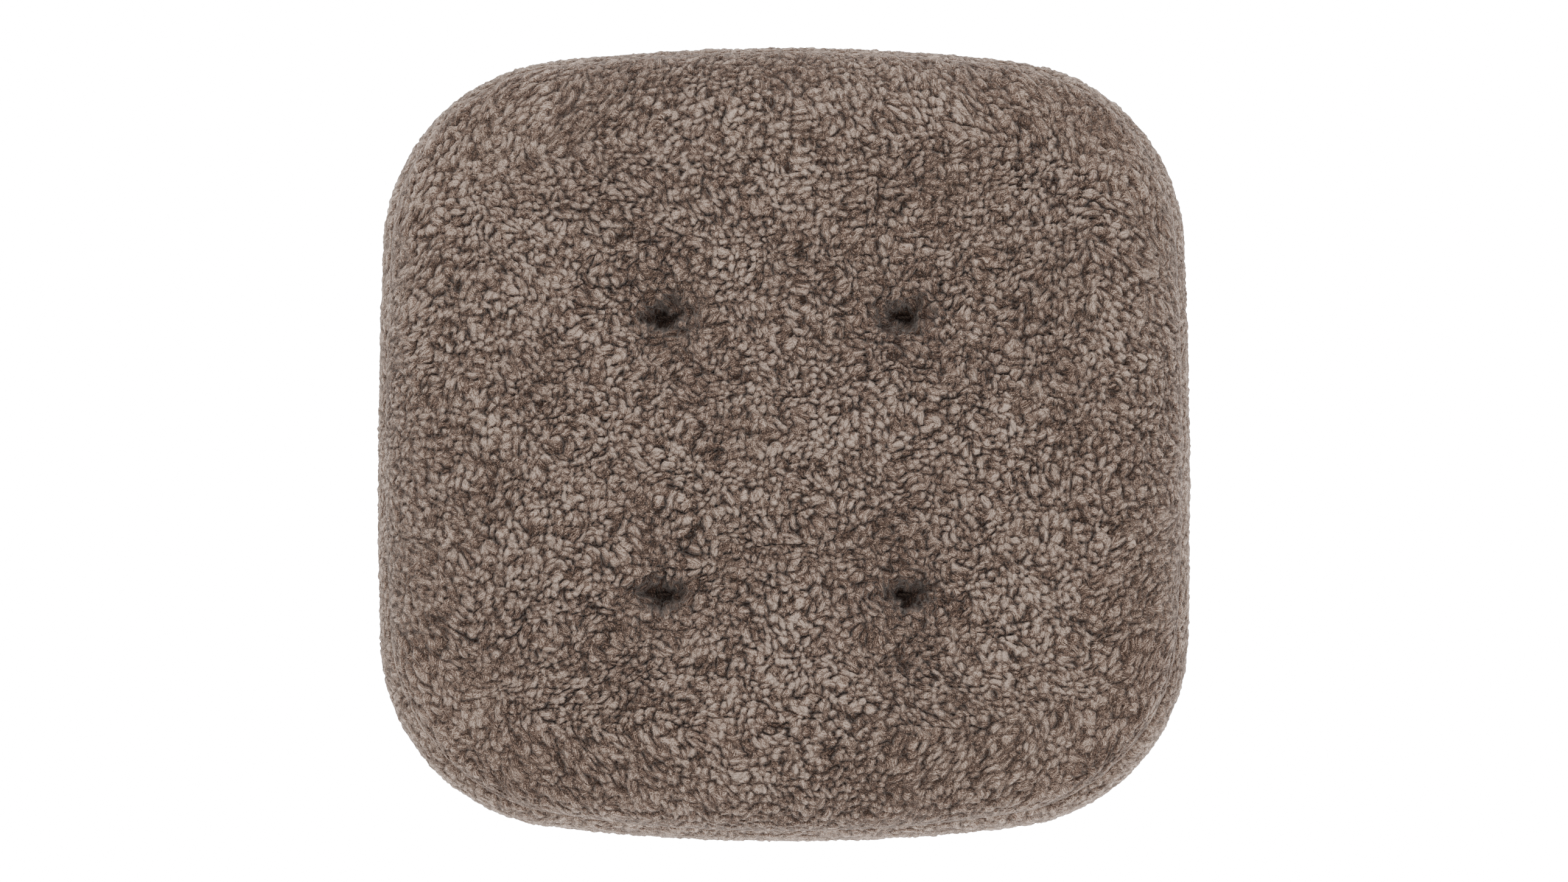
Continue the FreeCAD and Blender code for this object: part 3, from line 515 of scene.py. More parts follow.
# %% Locks of wool
LOCK_LAYERS = ((3.7, 2.6), (2.1, 1.35))  # spacing and height of each layer, in millimetres
MOUND = 9.5  # spacing in millimetres of the groups that the locks gather in
PARTING = 9.0  # spacing in millimetres of the deeper partings
SKIN_DROP = 2.3  # how far in millimetres the wool's foot lies under the smooth skin
PILE_DEPTH = 2.2  # depth in millimetres over which the colour turns from gap to tip


def locks(x, y, spacing, seed, around, swirl):
    """Height from 0 to 1 of the highest lock at each point, and that lock's own coordinates and
    number. A lock is half an ellipsoid, bent sideways along its length and leaning to one end:
    height = tallness * sqrt(1 - along^2 / length^2 - across^2 / width^2)."""
    x, y, wraps = steps_of(x, y, spacing, around)
    table = np.random.default_rng(seed).random((8, *wraps))
    i0, j0 = np.floor(x).astype(int), np.floor(y).astype(int)
    found = np.zeros((4, *x.shape))
    for di in (-1, 0, 1):
        for dj in (-1, 0, 1):
            i, j = i0 + di, j0 + dj
            r = table[:, i % wraps[0], j % wraps[1]]
            dx = x - (i + 0.5 + 0.74 * (r[0] - 0.5))
            dy = y - (j + 0.5 + 0.74 * (r[1] - 0.5))
            angle = swirl + 3.0 * (r[2] - 0.5)
            cos, sin = np.cos(angle), np.sin(angle)
            along, across = dx * cos + dy * sin, dy * cos - dx * sin
            across = across + (r[3] - 0.5) * 1.1 * along**2
            length, width = 0.54 + 0.26 * r[4], 0.4 + 0.2 * r[5]
            round_off = np.maximum(1 - (along / length) ** 2 - (across / width) ** 2, 0)
            height = (0.5 + 0.5 * r[6]) * np.sqrt(round_off) * (1 + 0.25 * along / length)
            lock = np.stack([height, along * spacing, across * spacing, r[7]])
            found = np.where(height > found[0], lock, found)
    return found


def partings(x, y, spacing, seed, around):
    """1 along the lines midway between scattered points, falling to 0 beside them."""
    x, y, wraps = steps_of(x, y, spacing, around)
    table = np.random.default_rng(seed).random((2, *wraps))
    i0, j0 = np.floor(x).astype(int), np.floor(y).astype(int)
    first, second = np.full_like(x, 9.0), np.full_like(x, 9.0)
    for di in (-1, 0, 1):
        for dj in (-1, 0, 1):
            i, j = i0 + di, j0 + dj
            r = table[:, i % wraps[0], j % wraps[1]]
            gap = np.hypot(x - (i + 0.5 + 0.8 * (r[0] - 0.5)), y - (j + 0.5 + 0.8 * (r[1] - 0.5)))
            second = np.where(gap < first, first, np.minimum(second, gap))
            first = np.minimum(first, gap)
    return np.exp(-(((second - first) / 0.085) ** 2))


def fleece(x, y, seed, around=None):
    """The wool over flat cloth coordinates in millimetres: height above the skin in millimetres, how
    near the tips a point is from 0 to 1 with painted shading in the partings and the hollows between
    mounds, the lock's own coordinates and the way the locks lean.
    Layers of smaller locks fill the gaps between the larger ones, fine grooves run along each lock,
    and deeper partings open here and there."""
    def rough(spacing, number):
        return noise(x, y, spacing, seed + number, around)

    bend_x, bend_y = rough(5.2, 1), rough(5.2, 2)
    warped_x = x + 2.6 * rough(13.0, 23) + 1.2 * bend_x + 0.35 * rough(1.7, 3)
    warped_y = y + 2.6 * rough(13.0, 24) + 1.2 * bend_y + 0.35 * rough(1.7, 4)
    swirl = 3.0 * rough(46.0, 5)
    height, lock = np.zeros_like(x), np.zeros((3, *x.shape))
    for number, (spacing, tall) in enumerate(LOCK_LAYERS):
        layer = locks(warped_x, warped_y, spacing, seed + 10 + number, around, swirl)
        risen = tall * layer[0]
        lock = np.where(risen > height, layer[1:], lock)
        height = np.maximum(height, risen)
    along, across, own = lock
    groove = np.abs(np.sin(math.pi * (across / 0.85 + own * 9 + 0.35 * np.sin(along * 2.1))))
    height += 0.34 * (groove - 0.6) + 0.24 * rough(0.9, 6)
    open_here = np.clip(0.45 + 1.3 * rough(23.0, 7), 0, 1) * np.clip(0.35 + 1.6 * rough(8.0, 22), 0, 1)
    push = 2.0 * rough(3.1, 8)
    crack = partings(x / 1.6 + push, warped_y + 1.8 * bend_x + push, PARTING, seed + 20,
                     around and around / 1.6) * open_here
    mound = locks(warped_x + 1.5 * bend_y, warped_y, MOUND, seed + 30, around, swirl)[0]
    # painted shade and light: the colour value drops in the partings and between the mounds and rises on the
    # mounds' tops. Its rise towards the lock tips is partly bleached tips, partly painted shade in the gaps.
    pile = np.clip((height - 1.2 * crack + 0.55 * (mound - 0.5)) / PILE_DEPTH, 0, 1)
    height += 0.5 * rough(13.0, 9) + 0.9 * (mound - 0.5) - 1.6 * crack
    return height - SKIN_DROP, pile, np.stack([along, across, own], -1), swirl


# %% [markdown]
# ## The shearling top
# The wool is laid out on the skin as if the hide were flat: from the block's edge outwards, each
# column is unrolled to its true length, so the curls keep their size where the top rolls over.

# %% Unrolled coordinates
def unroll(ring):
    """Flat coordinates of a ring: its first row stays, and each next point lies as far along its
    column's plan direction as the surface between them is long."""
    steps = np.linalg.norm(np.diff(ring, axis=0), axis=2)
    run = np.concatenate([np.zeros((1, ring.shape[1])), np.cumsum(steps, 0)])
    to_seam = run[-1] - run
    way = ring[len(ring) // 2, :, :2] - ring[0, :, :2]
    way /= np.linalg.norm(way, axis=1, keepdims=True)
    return ring[0, None, :, :2] + way[None] * run[..., None], to_seam


def grow(points, quads, flat, seed, around=None, calm=1.0, painted_shade=0.0, fluff=0.0):
    """Moves skin points out along their normals by the wool's height, with the tips leaning along the
    swirl, and returns the points and the wool's own values. calm flattens the wool, and painted_shade
    darkens its colour as painted shading in pits and by the seams; fluff is how far the locks are
    brushed out into a soft, even layer."""
    normals = point_normals(points, quads)
    x, y = flat[:, 0] / MM, flat[:, 1] / MM
    height, pile, strand, swirl = fleece(x, y, seed, around)
    fluff = np.clip(fluff + 0.35 * np.clip(noise(x, y, 24.0, seed + 40, around), 0, 1), 0, 1)
    calm = calm * (1 - 0.5 * fluff)
    height = height * calm * MM
    lean = np.stack([np.cos(swirl), np.sin(swirl), np.zeros_like(swirl)], -1)
    lean -= normals * (lean * normals).sum(1, keepdims=True)
    tip = np.maximum(height + 1.2 * MM, 0) * 0.3 * calm
    points = points + normals * height[:, None] + lean * tip[:, None]
    pile = pile * (1 - 0.5 * fluff) + 0.27 * fluff
    pile = pile * (1 + 0.13 * noise(x, y, 27.0, seed + 41, around))
    return points, pile * (1 - painted_shade), strand


def settle(gap):
    """How freely the wool stands at a distance from a seam: 0.3 on it, 1 well away."""
    return 1 - 0.7 * np.exp(-((gap / (3.2 * MM)) ** 2))


def add_values(piece, **values):
    """Keeps one number or one vector per point on the mesh, for its material to read."""
    for name, numbers in values.items():
        kind, field = ("FLOAT", "value") if numbers.ndim == 1 else ("FLOAT_VECTOR", "vector")
        layer = piece.data.attributes.new(name, kind, "POINT")
        layer.data.foreach_set(field, np.asarray(numbers, np.float32).reshape(-1))


MAP_LARGE = 0.94 / 0.46  # share of the map to a metre of cloth, in the main chart
MAP_SMALL = 0.05 / 0.46  # and in the small chart of the side that doesn't show


def add_map(piece, places):
    """The piece's UV map, from one place per face corner."""
    layer = piece.data.uv_layers.new(name="OFBake")
    layer.data.foreach_set("uv", np.asarray(places, np.float32).reshape(-1))


# %% Grow the top
UNDER_CREST = CROWN_HEIGHT - COVER_THICKNESS
UNDER_RADIUS = 2.23  # the dome of the wadding below


def under_height(x, y):
    """Underside of the hide: the wadding's dome, and a boss over each tuft."""
    dome = UNDER_CREST - (x * x + y * y) / (2 * UNDER_RADIUS)
    for cx, cy in TUFTS:
        r = np.hypot(x - cx, y - cy)
        dome = np.minimum(dome, SEAM_HEIGHT + 1.5 * MM + np.maximum(r - 10 * MM, 0) * 0.93)
    return dome


def shearling_top():
    """The top's outer skin with wool, closed underneath by a coarse copy of the wadding's surface."""
    count = COARSE * FINE
    ring = top_ring(count, FLAT_ROWS * FINE, ROLL_ROWS * FINE) + ring_shift
    block = top_block(count) + block_shift
    flat_ring, to_seam = unroll(ring)
    index = number_rows(ring)
    top_index = block_index(count, index[0], index.size)
    inside = block[1:-1, 1:-1].reshape(-1, 3)
    points = np.concatenate([ring.reshape(-1, 3), inside])
    flat = np.concatenate([flat_ring.reshape(-1, 2), inside[:, :2]])
    quads = np.concatenate([ring_faces(index), block_faces(top_index)])
    wool = quads.size
    pit = pinch(points[:, 0], points[:, 1])
    free = np.concatenate([settle(to_seam.ravel()), np.ones(len(inside))])
    # painted shade: the wool's colour is darkened in each tuft's pit, in an oval dish round it and near the
    # seam, where shade falls; lit is the share that is left.
    dish = sum(np.exp(-(np.hypot(*((points[:, :2] - tuft) / (23 * MM, 36 * MM)).T) ** 2)) for tuft in TUFTS)
    reach = (26 + 34 * corner_weight(columns(count))) * MM
    fluff = np.concatenate([0.85 * np.exp(-((to_seam / reach) ** 2)).ravel(), np.zeros(len(inside))])
    lit = (1 - 0.97 * pit) * (1 - 0.4 * (1 - free)) * (1 - 0.3 * dish)
    points, pile, strand = grow(
        points, quads, flat, seed=11, fluff=fluff, calm=free * (1 - 0.3 * pit), painted_shade=1 - lit
    )

    low = COARSE
    edge, normal = outline(columns(low))
    rim_inset = SEAM_INSET + CORNER_DRAW * corner_weight(columns(low)) + COVER_THICKNESS
    rim = edge - normal * rim_inset[:, None]
    rim_rows = np.stack([
        np.concatenate([rim, np.full((len(rim), 1), SEAM_HEIGHT)], -1),
        np.concatenate([rim, under_height(*rim.T)[:, None]], -1),
    ])
    x, y = block_plan(low)
    part = (np.arange(1, 9) / 8)[:, None, None]
    plan = rim[None] * (1 - part) + block_border(low)[None] * part
    dome_rows = np.concatenate([plan, under_height(plan[..., 0], plan[..., 1])[..., None]], -1)
    rows = np.concatenate([rim_rows, dome_rows])
    start = len(points)
    low_index = number_rows(rows, start)
    low_block = block_index(low, low_index[-1], low_index.max() + 1)
    low_points = np.stack([x, y, under_height(x, y)], -1)[1:-1, 1:-1].reshape(-1, 3)
    joined = join_rows(index[-1], low_index[0])
    points = np.concatenate([points, rows.reshape(-1, 3), low_points])
    quads = np.concatenate([quads, ring_faces(low_index), block_faces(low_block)[:, ::-1]])
    extra = len(points) - start
    piece = make_mesh("shearling_top", points, quads, joined)
    pile = np.concatenate([pile, np.zeros(extra)])
    strand = np.concatenate([strand, np.zeros((extra, 3))])
    add_values(piece, pile=pile, strand=strand)
    # the wool side fills the map, and the under side is a small chart in the free corner
    corners = np.concatenate([quads.ravel(), joined.ravel()])
    places = points[corners, :2] * (-MAP_SMALL, MAP_SMALL) + 0.03
    places[:wool] = flat[corners[:wool]] * MAP_LARGE + 0.5
    add_map(piece, places)
    return piece


top = shearling_top()
print("top", len(top.data.vertices), "points,", round(time.time() - started, 1), "s")


# %% [markdown]
# ## The side band
# The band is one strip of the same shearling. Its flat coordinates are the distance along the outline
# and the distance round its section, and the wool's pattern meets itself after one turn.

# %% Grow the band
def side_band():
    """The band's outer skin with wool, closed by its plain inner wall."""
    count = COARSE * FINE
    ring = band_ring(count, BAND_ROWS * FINE) + band_shift
    steps = np.linalg.norm(np.diff(ring, axis=0), axis=2).mean(1)
    run = np.concatenate([[0], np.cumsum(steps)])
    distance = columns(count)
    flat = np.stack(np.broadcast_arrays(distance[None], run[:, None]), -1).reshape(-1, 2)
    index = number_rows(ring)
    quads = ring_faces(index)
    free = np.repeat(settle(np.minimum(run, run[-1] - run)), ring.shape[1])
    # painted shade: the band's wool is darkened near both seams, where shade falls.
    points, pile, strand = grow(
        ring.reshape(-1, 3), quads, flat, seed=57, around=PERIMETER / MM,
        calm=0.9 * free, painted_shade=0.4 * (1 - free), fluff=0.85,
    )
    # painted light: the whole band's wool is made paler, standing in for the light its sides catch from below
    # and all round.
    pile = np.clip(pile + 0.12, 0, 1)
    points[:, 2] = np.maximum(points[:, 2], 0.4 * MM)

    edge, normal = outline(columns(COARSE))
    wall = edge - normal * COVER_THICKNESS
    heights = np.linspace(band_low.z + 1 * MM, band_high.z - 1 * MM, 3)
    rows = np.stack([np.concatenate([wall, np.full((len(wall), 1), z)], -1) for z in heights])
    start = len(points)
    low_index = number_rows(rows, start)
    walls = ring_faces(low_index)
    bottom = join_rows(index[-1], low_index[0])
    upper = join_rows(index[0], low_index[-1])[:, ::-1]
    piece = make_mesh(
        "shearling_band",
        np.concatenate([points, rows.reshape(-1, 3)]),
        np.concatenate([quads, walls]),
        np.concatenate([bottom, upper]),
    )
    extra = rows.shape[0] * rows.shape[1]
    add_values(
        piece,
        pile=np.concatenate([pile, np.zeros(extra)]),
        strand=np.concatenate([strand, np.zeros((extra, 3))]),
    )
    # the wool side lies in five lanes above each other, the inner wall and its joins in a sixth
    lanes = 5
    along = np.concatenate([np.tile(distance, len(ring)), np.tile(columns(COARSE), len(rows))]) / PERIMETER
    wall_level = np.repeat([0.3, 0.5, 0.7], rows.shape[1])
    level = np.concatenate([np.repeat(run / run[-1], ring.shape[1]), wall_level])
    places = []
    for faces, inner in ((quads, False), (walls, True), (bottom, True), (upper, True)):
        u, v = along[faces], level[faces]
        u = np.where(u.max(1, keepdims=True) - u > 0.5, u + 1, u)
        if inner:
            v = np.where(faces < start, np.where(v > 0.5, 0.1, 0.9), v)
            u, v = 0.98 - u * 0.96, v + lanes
        else:
            lane = np.floor(u.min(1, keepdims=True) * lanes)
            u, v = (u * lanes - lane) * 0.96 + 0.02, lane + 0.96 - 0.92 * v
        places.append(np.stack([u, v / (lanes + 1)], -1).reshape(-1, 2))
    add_map(piece, np.concatenate(places))
    return piece


band = side_band()
print("band", len(band.data.vertices), "points,", round(time.time() - started, 1), "s")


# %% [markdown]
# ## The base cloth
# The base is one piece of plain woven cloth, cut to the pad's plan with a hem that turns up inside the
# band. It is pulled up into a dimple at each button, and small pulls run out from the dimples. It is
# cloth held flat between seams and tufts, so its shape is a height worked out on the same grid.

# %% Make the base cloth
HEM = 8 * MM
BASE_INSET = 5 * MM  # the base seam, where the cloth turns back before its hem goes up
CLOTH_THICKNESS = 1.2 * MM
DIMPLE = 7 * MM
DIMPLE_INNER, DIMPLE_OUTER = 9.6 * MM, 19 * MM


def base_rise(x, y):
    """Height of the cloth's underside: at each button a dimple whose side is an S-curve from its inner
    to its outer radius, with nine faint pulls that fade with distance."""
    rise = 0.25 * MM * noise(x / MM, y / MM, 34.0, 71)
    rise += 0.12 * MM * noise(x / MM, y / MM, 11.0, 72) + 0.4 * MM
    for cx, cy in TUFTS:
        r, way = np.hypot(x - cx, y - cy), np.arctan2(y - cy, x - cx)
        part = np.clip((DIMPLE_OUTER - r) / (DIMPLE_OUTER - DIMPLE_INNER), 0, 1)
        pulls = 0.45 * MM * np.cos(9 * way + 1.3 * cx / abs(cx)) * np.exp(-(((r - 20 * MM) / (13 * MM)) ** 2))
        rise = rise + (DIMPLE - 0.4 * MM) * part * part * (3 - 2 * part) + pulls * (part < 1)
    return np.clip(rise, 0, DIMPLE)


def base_cloth():
    """The cloth as a closed sheet: underside, hem and upper side are one ring of rows between two
    middle blocks."""
    count = 120
    edge, normal = outline(columns(count))
    x, y = block_plan(count)
    inner = block_border(count)
    rim = edge - normal * (COVER_THICKNESS + CLOTH_THICKNESS + 1 * MM)
    part = (np.arange(31) / 30)[:, None, None]
    plan = inner[None] * (1 - part) + rim[None] * part
    low = np.concatenate([plan, base_rise(plan[..., 0], plan[..., 1])[..., None]], -1)
    high = low[::-1] + np.array([0, 0, CLOTH_THICKNESS])

    def at_inset(inset, z):
        """One row of the turned edge or the hem, all round."""
        plan = edge - normal * inset
        return np.concatenate([plan, np.full((len(plan), 1), z)], -1)[None]

    out, inside = COVER_THICKNESS, COVER_THICKNESS + CLOTH_THICKNESS
    folds = [  # inset and height of each row round the turned edge and the hem
        (8 * MM, 0.4 * MM), (5.6 * MM, 0.4 * MM), (BASE_INSET, 1.0 * MM), (5.6 * MM, 1.6 * MM),
        (out - 0.4 * MM, 1.7 * MM), (out, 2.2 * MM), (out, 6 * MM), (out, 2 * MM + HEM),
        (inside, 2 * MM + HEM), (inside, 6 * MM), (inside, 2.4 * MM),
    ]
    rows = np.concatenate([low, *[at_inset(*fold) for fold in folds], high])
    index = number_rows(rows)
    under = block_index(count, index[0], index.size)
    over = block_index(count, index[-1], index.size + (count - 1) ** 2)
    height = base_rise(x, y)
    middle = [np.stack([x, y, height + lift], -1)[1:-1, 1:-1].reshape(-1, 3) for lift in (0, CLOTH_THICKNESS)]
    points = np.concatenate([rows.reshape(-1, 3), *middle])
    turn = (len(low) + len(folds) - 1) * rows.shape[1]  # faces up to the hem's inner edge
    ring = ring_faces(index)[:, ::-1]
    quads = np.concatenate([ring[:turn], block_faces(under)[:, ::-1], ring[turn:], block_faces(over)])
    piece = make_mesh("base_cloth", points, quads)
    # the map unrolls the under side and the hem outward, and the upper side is a small chart
    run = np.cumsum(np.linalg.norm(np.diff(rows[len(low) - 1:], axis=0), axis=2).mean(1))
    unrolled = points[:, :2].copy()
    outward = (rim[None] + normal[None] * run[:, None, None]).reshape(-1, 2)
    unrolled[len(low) * len(edge):len(rows) * len(edge)] = outward
    wide = 4 * (turn + len(block_faces(under)))
    corners = quads.ravel()
    places = points[corners, :2] * MAP_SMALL + 0.03
    places[:wide] = unrolled[corners[:wide]] * (-MAP_LARGE, MAP_LARGE) + 0.5
    add_map(piece, places)
    allowance = COVER_THICKNESS - BASE_INSET + HEM
    cut = edge + normal * (allowance - BASE_INSET)
    area = 0.5 * abs(np.sum(cut[:, 0] * np.roll(cut[:, 1], -1) - cut[:, 1] * np.roll(cut[:, 0], -1)))
    size = 2 * (np.array([HALF_WIDTH, HALF_DEPTH]) - BASE_INSET + allowance)
    return piece, size, area


cloth, cloth_size, cloth_area = base_cloth()
print("base cloth", cloth_size.round(4).tolist(), "m, area", round(float(cloth_area), 5))
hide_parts("base_panel")
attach(cloth, BODY)

# %% [markdown]
# ## Shearling finish
# Wool scatters light between its fibres, so it has no gloss but a pale bloom at grazing angles: sheen
# does that. Lock tips are bleached and dry. The gaps between them, the tufts' pits and the seams are
# darkened with painted shade. The fibres show as fine streaks along each lock, from noise stretched
# in the lock's own coordinates.

# %% Node helpers
def new_material(name):
    """A material with its nodes, its links and its main shader."""
    material = bpy.data.materials.new(name)
    material.use_nodes = True
    nodes = material.node_tree.nodes
    return material, nodes, material.node_tree.links, nodes["Principled BSDF"]


def add(nodes, kind, **settings):
    """A node of one kind with its settings."""
    node = nodes.new(kind)
    for name, setting in settings.items():
        setattr(node, name, setting)
    return node


def ramp(nodes, stops):
    """A colour ramp with (position, colour) stops."""
    node = nodes.new("ShaderNodeValToRGB")
    bar = node.color_ramp.elements
    while len(bar) < len(stops):
        bar.new(0.5)
    for element, (place, colour) in zip(bar, stops):
        element.position = place
        element.color = (*colour, 1)
    return node


def fill(node, values):
    """Sets a node's inputs by their names."""
    for name, value in values.items():
        node.inputs[name].default_value = value


def noise_in(nodes, links, place, scale, detail, roughness=0.5):
    """Noise over a place output."""
    node = add(nodes, "ShaderNodeTexNoise")
    fill(node, {"Scale": scale, "Detail": detail, "Roughness": roughness})
    links.new(place, node.inputs["Vector"])
    return node.outputs["Fac"]


def stretched(nodes, links, place, amounts):
    """A place output multiplied along each axis."""
    node = add(nodes, "ShaderNodeVectorMath", operation="MULTIPLY")
    node.inputs[1].default_value = amounts
    links.new(place, node.inputs[0])
    return node.outputs[0]


def weighted(nodes, links, value, weight, more):
    """value * weight + more, where more is a number or another output."""
    node = add(nodes, "ShaderNodeMath", operation="MULTIPLY_ADD")
    node.inputs[1].default_value = weight
    links.new(value, node.inputs[0])
    if isinstance(more, float):
        node.inputs[2].default_value = more
    else:
        links.new(more, node.inputs[2])
    return node.outputs[0]


def relief(nodes, links, shader, height, strength, distance):
    """A fine bump from one output."""
    node = add(nodes, "ShaderNodeBump")
    fill(node, {"Strength": strength, "Distance": distance})
    links.new(height, node.inputs["Height"])
    links.new(node.outputs["Normal"], shader.inputs["Normal"])


# %% Shearling
GRAIN_CONTRAST = 2.1
GRAIN_MIDDLE = 0.95  # the grain's own average


def shearling_material():
    """Colour from how near the tips a point is, which gives the bleached tips and painted shading in
    the gaps, pits and seams, with the grain of the fibres added, then a slow mottle over the whole hide."""
    material, nodes, links, shader = new_material("taupe_shearling")
    pile = add(nodes, "ShaderNodeAttribute", attribute_name="pile")
    strand = add(nodes, "ShaderNodeAttribute", attribute_name="strand")
    place = add(nodes, "ShaderNodeTexCoord")

    strands = stretched(nodes, links, strand.outputs["Vector"], (0.5, 2.4, 97.0))
    fibre = noise_in(nodes, links, strands, 1.0, 3.0, 0.6)
    mottle = noise_in(nodes, links, place.outputs["Object"], 38.0, 3.0)
    speck = noise_in(nodes, links, place.outputs["Object"], 2300.0, 3.0)

    # painted shade: the ramp's near-black end is the shade in the gaps between locks, in the pits and at the
    # seams; its pale end is the bleached tips.
    depth = ramp(nodes, [
        (0.0, (0.038, 0.023, 0.017)),
        (0.25, (0.100, 0.065, 0.049)),
        (0.5, (0.222, 0.152, 0.118)),
        (0.75, (0.395, 0.287, 0.228)),
        (1.0, (0.68, 0.53, 0.44)),
    ])
    grain = weighted(nodes, links, speck, 0.9, fibre)
    shifted = weighted(nodes, links, grain, GRAIN_CONTRAST, -GRAIN_CONTRAST * GRAIN_MIDDLE - 0.02)
    total = weighted(nodes, links, pile.outputs["Fac"], 0.92, shifted)
    links.new(total, depth.inputs["Fac"])

    tone = ramp(nodes, [(0.3, (0.90, 0.88, 0.87)), (0.7, (1.07, 1.07, 1.06))])
    links.new(mottle, tone.inputs["Fac"])
    mixed = add(nodes, "ShaderNodeMix", data_type="RGBA", blend_type="MULTIPLY")
    mixed.inputs["Factor"].default_value = 1.0
    links.new(depth.outputs["Color"], mixed.inputs["A"])
    links.new(tone.outputs["Color"], mixed.inputs["B"])
    links.new(mixed.outputs["Result"], shader.inputs["Base Color"])

    relief(nodes, links, shader, grain, 0.8, 0.8 * MM)
    fill(shader, {
        "Roughness": 0.95, "Specular IOR Level": 0.12, "Sheen Weight": 0.55, "Sheen Roughness": 0.3,
        "Sheen Tint": (0.86, 0.80, 0.75, 1),
    })
    return material


SHEARLING = shearling_material()
for piece, node in ((top, "top_panel"), (band, "side_band")):
    piece.data.materials.append(SHEARLING)
    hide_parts(node)
    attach(piece, BODY)

# %% [markdown]
# ## The other finishes
# Cloth, foam, wadding, thread, twine and buttons each get a small procedural finish: a colour that
# drifts between two tones, and a fine relief. The pattern differs: woven cloth has crossed waves, foam
# has open cells, wadding has combed fibres, thread and twine are twisted, and the buttons are moulded.

# %% Small finishes
def finish_material(name, tones, pattern, scale, roughness, depth, stretch=(1, 1, 1), sheen=0.0):
    """A material whose colour runs between two tones by one pattern, which also makes its relief."""
    material, nodes, links, shader = new_material(name)
    place = add(nodes, "ShaderNodeTexCoord")
    spread = stretched(nodes, links, place.outputs["Object"], stretch)
    if pattern == "cells":
        texture = add(nodes, "ShaderNodeTexVoronoi")
        value = texture.outputs["Distance"]
    elif pattern == "twist":
        texture = add(nodes, "ShaderNodeTexWave", bands_direction="DIAGONAL")
        texture.inputs["Distortion"].default_value = 1.5
        value = texture.outputs["Fac"]
    else:
        texture = add(nodes, "ShaderNodeTexNoise")
        texture.inputs["Detail"].default_value = 4.0
        value = texture.outputs["Fac"]
    texture.inputs["Scale"].default_value = scale
    links.new(spread, texture.inputs["Vector"])
    if pattern == "weave":
        crossed = []
        for way in ("X", "Y"):
            wave = add(nodes, "ShaderNodeTexWave", bands_direction=way)
            fill(wave, {"Scale": scale, "Distortion": 0.6})
            links.new(spread, wave.inputs["Vector"])
            crossed.append(wave.outputs["Fac"])
        woven = add(nodes, "ShaderNodeMath", operation="MULTIPLY")
        links.new(crossed[0], woven.inputs[0])
        links.new(crossed[1], woven.inputs[1])
        texture.inputs["Scale"].default_value = 60.0
        value = weighted(nodes, links, value, 0.35, woven.outputs[0])
    colours = ramp(nodes, [(0.25, tones[0]), (0.8, tones[1])])
    links.new(value, colours.inputs["Fac"])
    links.new(colours.outputs["Color"], shader.inputs["Base Color"])
    relief(nodes, links, shader, value, 0.6, depth)
    gloss = 0.2 if roughness > 0.6 else 0.5
    fill(shader, {"Roughness": roughness, "Sheen Weight": sheen, "Specular IOR Level": gloss})
    return material


TAUPE_THREAD = finish_material(
    "taupe_thread", ((0.10, 0.07, 0.055), (0.22, 0.16, 0.13)), "twist", 500.0, 0.75, 0.0002)
FINISHES = {
    "base_cloth": finish_material(
        "base_weave", ((0.16, 0.115, 0.09), (0.30, 0.225, 0.18)), "weave", 420.0, 0.92, 0.0003, sheen=0.25),
    "foam": finish_material(
        "pale_foam", ((0.55, 0.50, 0.38), (0.78, 0.74, 0.62)), "cells", 700.0, 0.95, 0.0006),
    "wadding": finish_material(
        "white_wadding", ((0.62, 0.61, 0.58), (0.85, 0.84, 0.82)), "fibres", 220.0, 0.95, 0.001,
        (1, 5, 5), 0.4),
    "thread": TAUPE_THREAD,
    "twine": finish_material(
        "waxed_twine", ((0.022, 0.014, 0.010), (0.05, 0.034, 0.026)), "twist", 330.0, 0.8, 0.0003),
    "button": finish_material(
        "horn_button", ((0.045, 0.028, 0.020), (0.11, 0.072, 0.050)), "marble", 130.0, 0.35, 0.0001,
        (1, 2.5, 1)),
}


def finish_of(node):
    """Which of the small finishes a frame node gets, from its name."""
    for word, finish in (("foam", "foam"), ("wadding", "wadding"), ("twine", "twine"),
                         ("button", "button"), ("thread", "thread"), ("stitches", "thread")):
        if word in node:
            return FINISHES[finish]
    return FINISHES["base_cloth"]


cloth.data.materials.append(FINISHES["base_cloth"])
for node in sorted(frame["nodes"]):
    piece = bpy.data.objects.get(node)
    if piece is not None and piece.type == "MESH":
        piece.data.materials.clear()
        piece.data.materials.append(finish_of(node))
print("finishes on", len(frame["nodes"]), "nodes")

# %% [markdown]
# ## Floor, light and camera
# The pad lies on a white light table in a white tent, so the ground is white with almost no shadow.
# Only the camera sees the tent. The pad is lit by the world all round, by two soft boxes, and by a
# glowing sheet that lights its edge from below. The camera looks down, tipped a little to the front.

# %% Stage
def glowing(name, piece, strength):
    """A plain white finish that gives off light of one strength."""
    material, _, _, shader = new_material(name)
    fill(shader, {
        "Base Color": (0.9, 0.9, 0.9, 1), "Roughness": 0.9,
        "Emission Color": (1, 1, 1, 1), "Emission Strength": strength,
    })
    piece.data.materials.append(material)


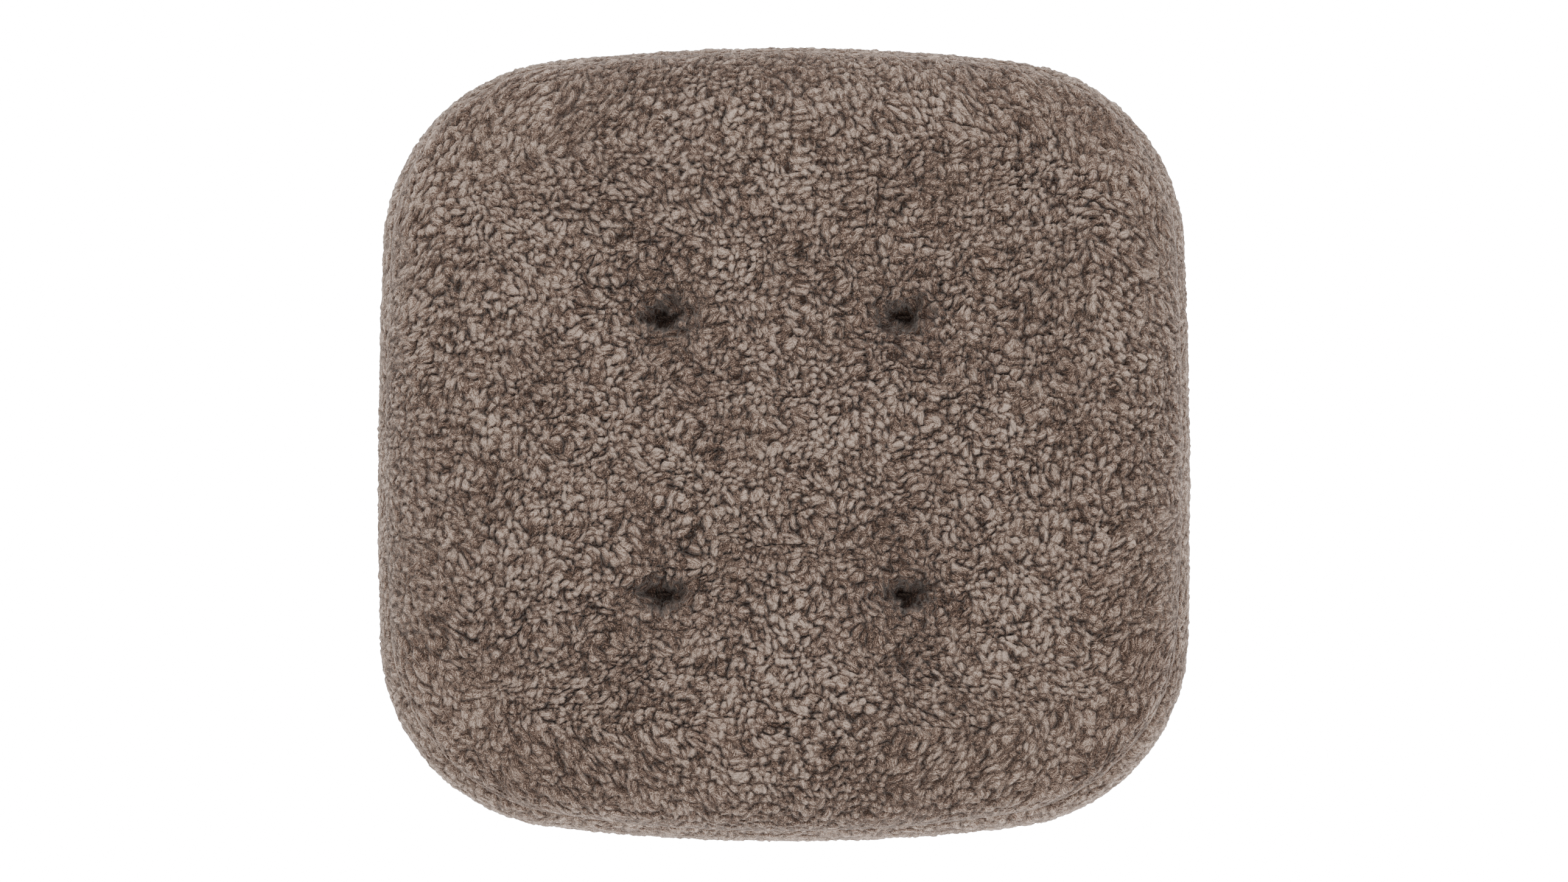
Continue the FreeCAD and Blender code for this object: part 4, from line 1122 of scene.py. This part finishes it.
def tent(radius=4.5, columns_round=48):
    """A flat floor that curves up into a dome: a profile turned round the vertical."""
    angle = np.linspace(0, math.pi / 2, 13)
    profile = np.concatenate([
        [(0.5, 0), (1.5, 0)], np.stack([radius - 1 + np.sin(angle), 1 - np.cos(angle)], -1),
        np.stack([radius * np.cos(angle[1:-1]), 1 + (radius - 1) * np.sin(angle[1:-1])], -1),
    ])
    turn = np.arange(columns_round) * (2 * math.pi / columns_round)
    rows = np.stack([
        profile[:, :1] * np.cos(turn), profile[:, :1] * np.sin(turn),
        np.broadcast_to(profile[:, 1:] - 0.5 * MM, (len(profile), len(turn))),
    ], -1)
    index = number_rows(rows)
    ends = np.array([(0, 0, -0.5 * MM), (0, 0, radius)])
    fans = [
        np.stack([np.roll(index[0], -1), index[0], np.full(len(turn), index.size)], -1),
        np.stack([index[-1], np.roll(index[-1], -1), np.full(len(turn), index.size + 1)], -1),
    ]
    piece = make_mesh(
        "white_tent", np.concatenate([rows.reshape(-1, 3), ends]), ring_faces(index), np.concatenate(fans))
    piece.visible_diffuse = piece.visible_glossy = piece.visible_shadow = False
    glowing("white_tent", piece, 16.5)
    piece.data.materials[0].cycles.emission_sampling = "NONE"


def light_table(half=0.9, strength=3.4):
    """A glowing sheet under the floor that the camera doesn't see."""
    corners = np.array([(-half, -half), (half, -half), (half, half), (-half, half)])
    points = np.concatenate([corners, np.full((4, 1), -1.0 * MM)], -1)
    piece = make_mesh("light_table", points, np.array([[0, 1, 2, 3]]))
    piece.visible_camera = False
    glowing("light_table", piece, strength)


def stand(holder, place, aim):
    """Puts a lamp or camera at a place, turned to face a point."""
    holder.location = place
    holder.rotation_mode = "QUATERNION"
    holder.rotation_quaternion = (aim - place).to_track_quat("-Z", "Y")
    bpy.context.scene.collection.objects.link(holder)


def soft_light(name, place, aim, size, power):
    """A square soft box at a place, turned to face a point."""
    lamp = bpy.data.lights.new(name, "AREA")
    lamp.shape = "SQUARE"
    lamp.size = size
    lamp.energy = power
    holder = bpy.data.objects.new(name, lamp)
    stand(holder, Vector(place), Vector(aim))


tent()
light_table()
world = bpy.data.worlds.new("studio")
world.use_nodes = True
fill(world.node_tree.nodes["Background"], {"Color": (1, 1, 1, 1), "Strength": 0.6})
bpy.context.scene.world = world
soft_light("rear_soft_box", (-0.4, 1.5, 1.5), (0, 0, 0.03), 1.0, 23)
soft_light("front_soft_box", (0.7, -1.3, 1.7), (0, 0, 0.03), 1.2, 19)

# %% Camera
LENS = 100.0
SENSOR = 36.0
TILT = math.radians(5.5)
VIEW_SHARE = 0.51863  # share of the view's width that the pad takes
SPAN = 2 * HALF_WIDTH / VIEW_SHARE
reach = SPAN * LENS / SENSOR
camera_data = bpy.data.cameras.new("camera")
camera_data.lens = LENS
camera_data.sensor_width = SENSOR
camera = bpy.data.objects.new("camera", camera_data)
target = Vector((0, 0, 0.022))
back = Vector((0, -math.sin(TILT), math.cos(TILT)))
stand(camera, target + back * reach, target)
bpy.context.scene.camera = camera

# %% Finish
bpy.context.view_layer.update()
print("done after", round(time.time() - started, 1), "s")
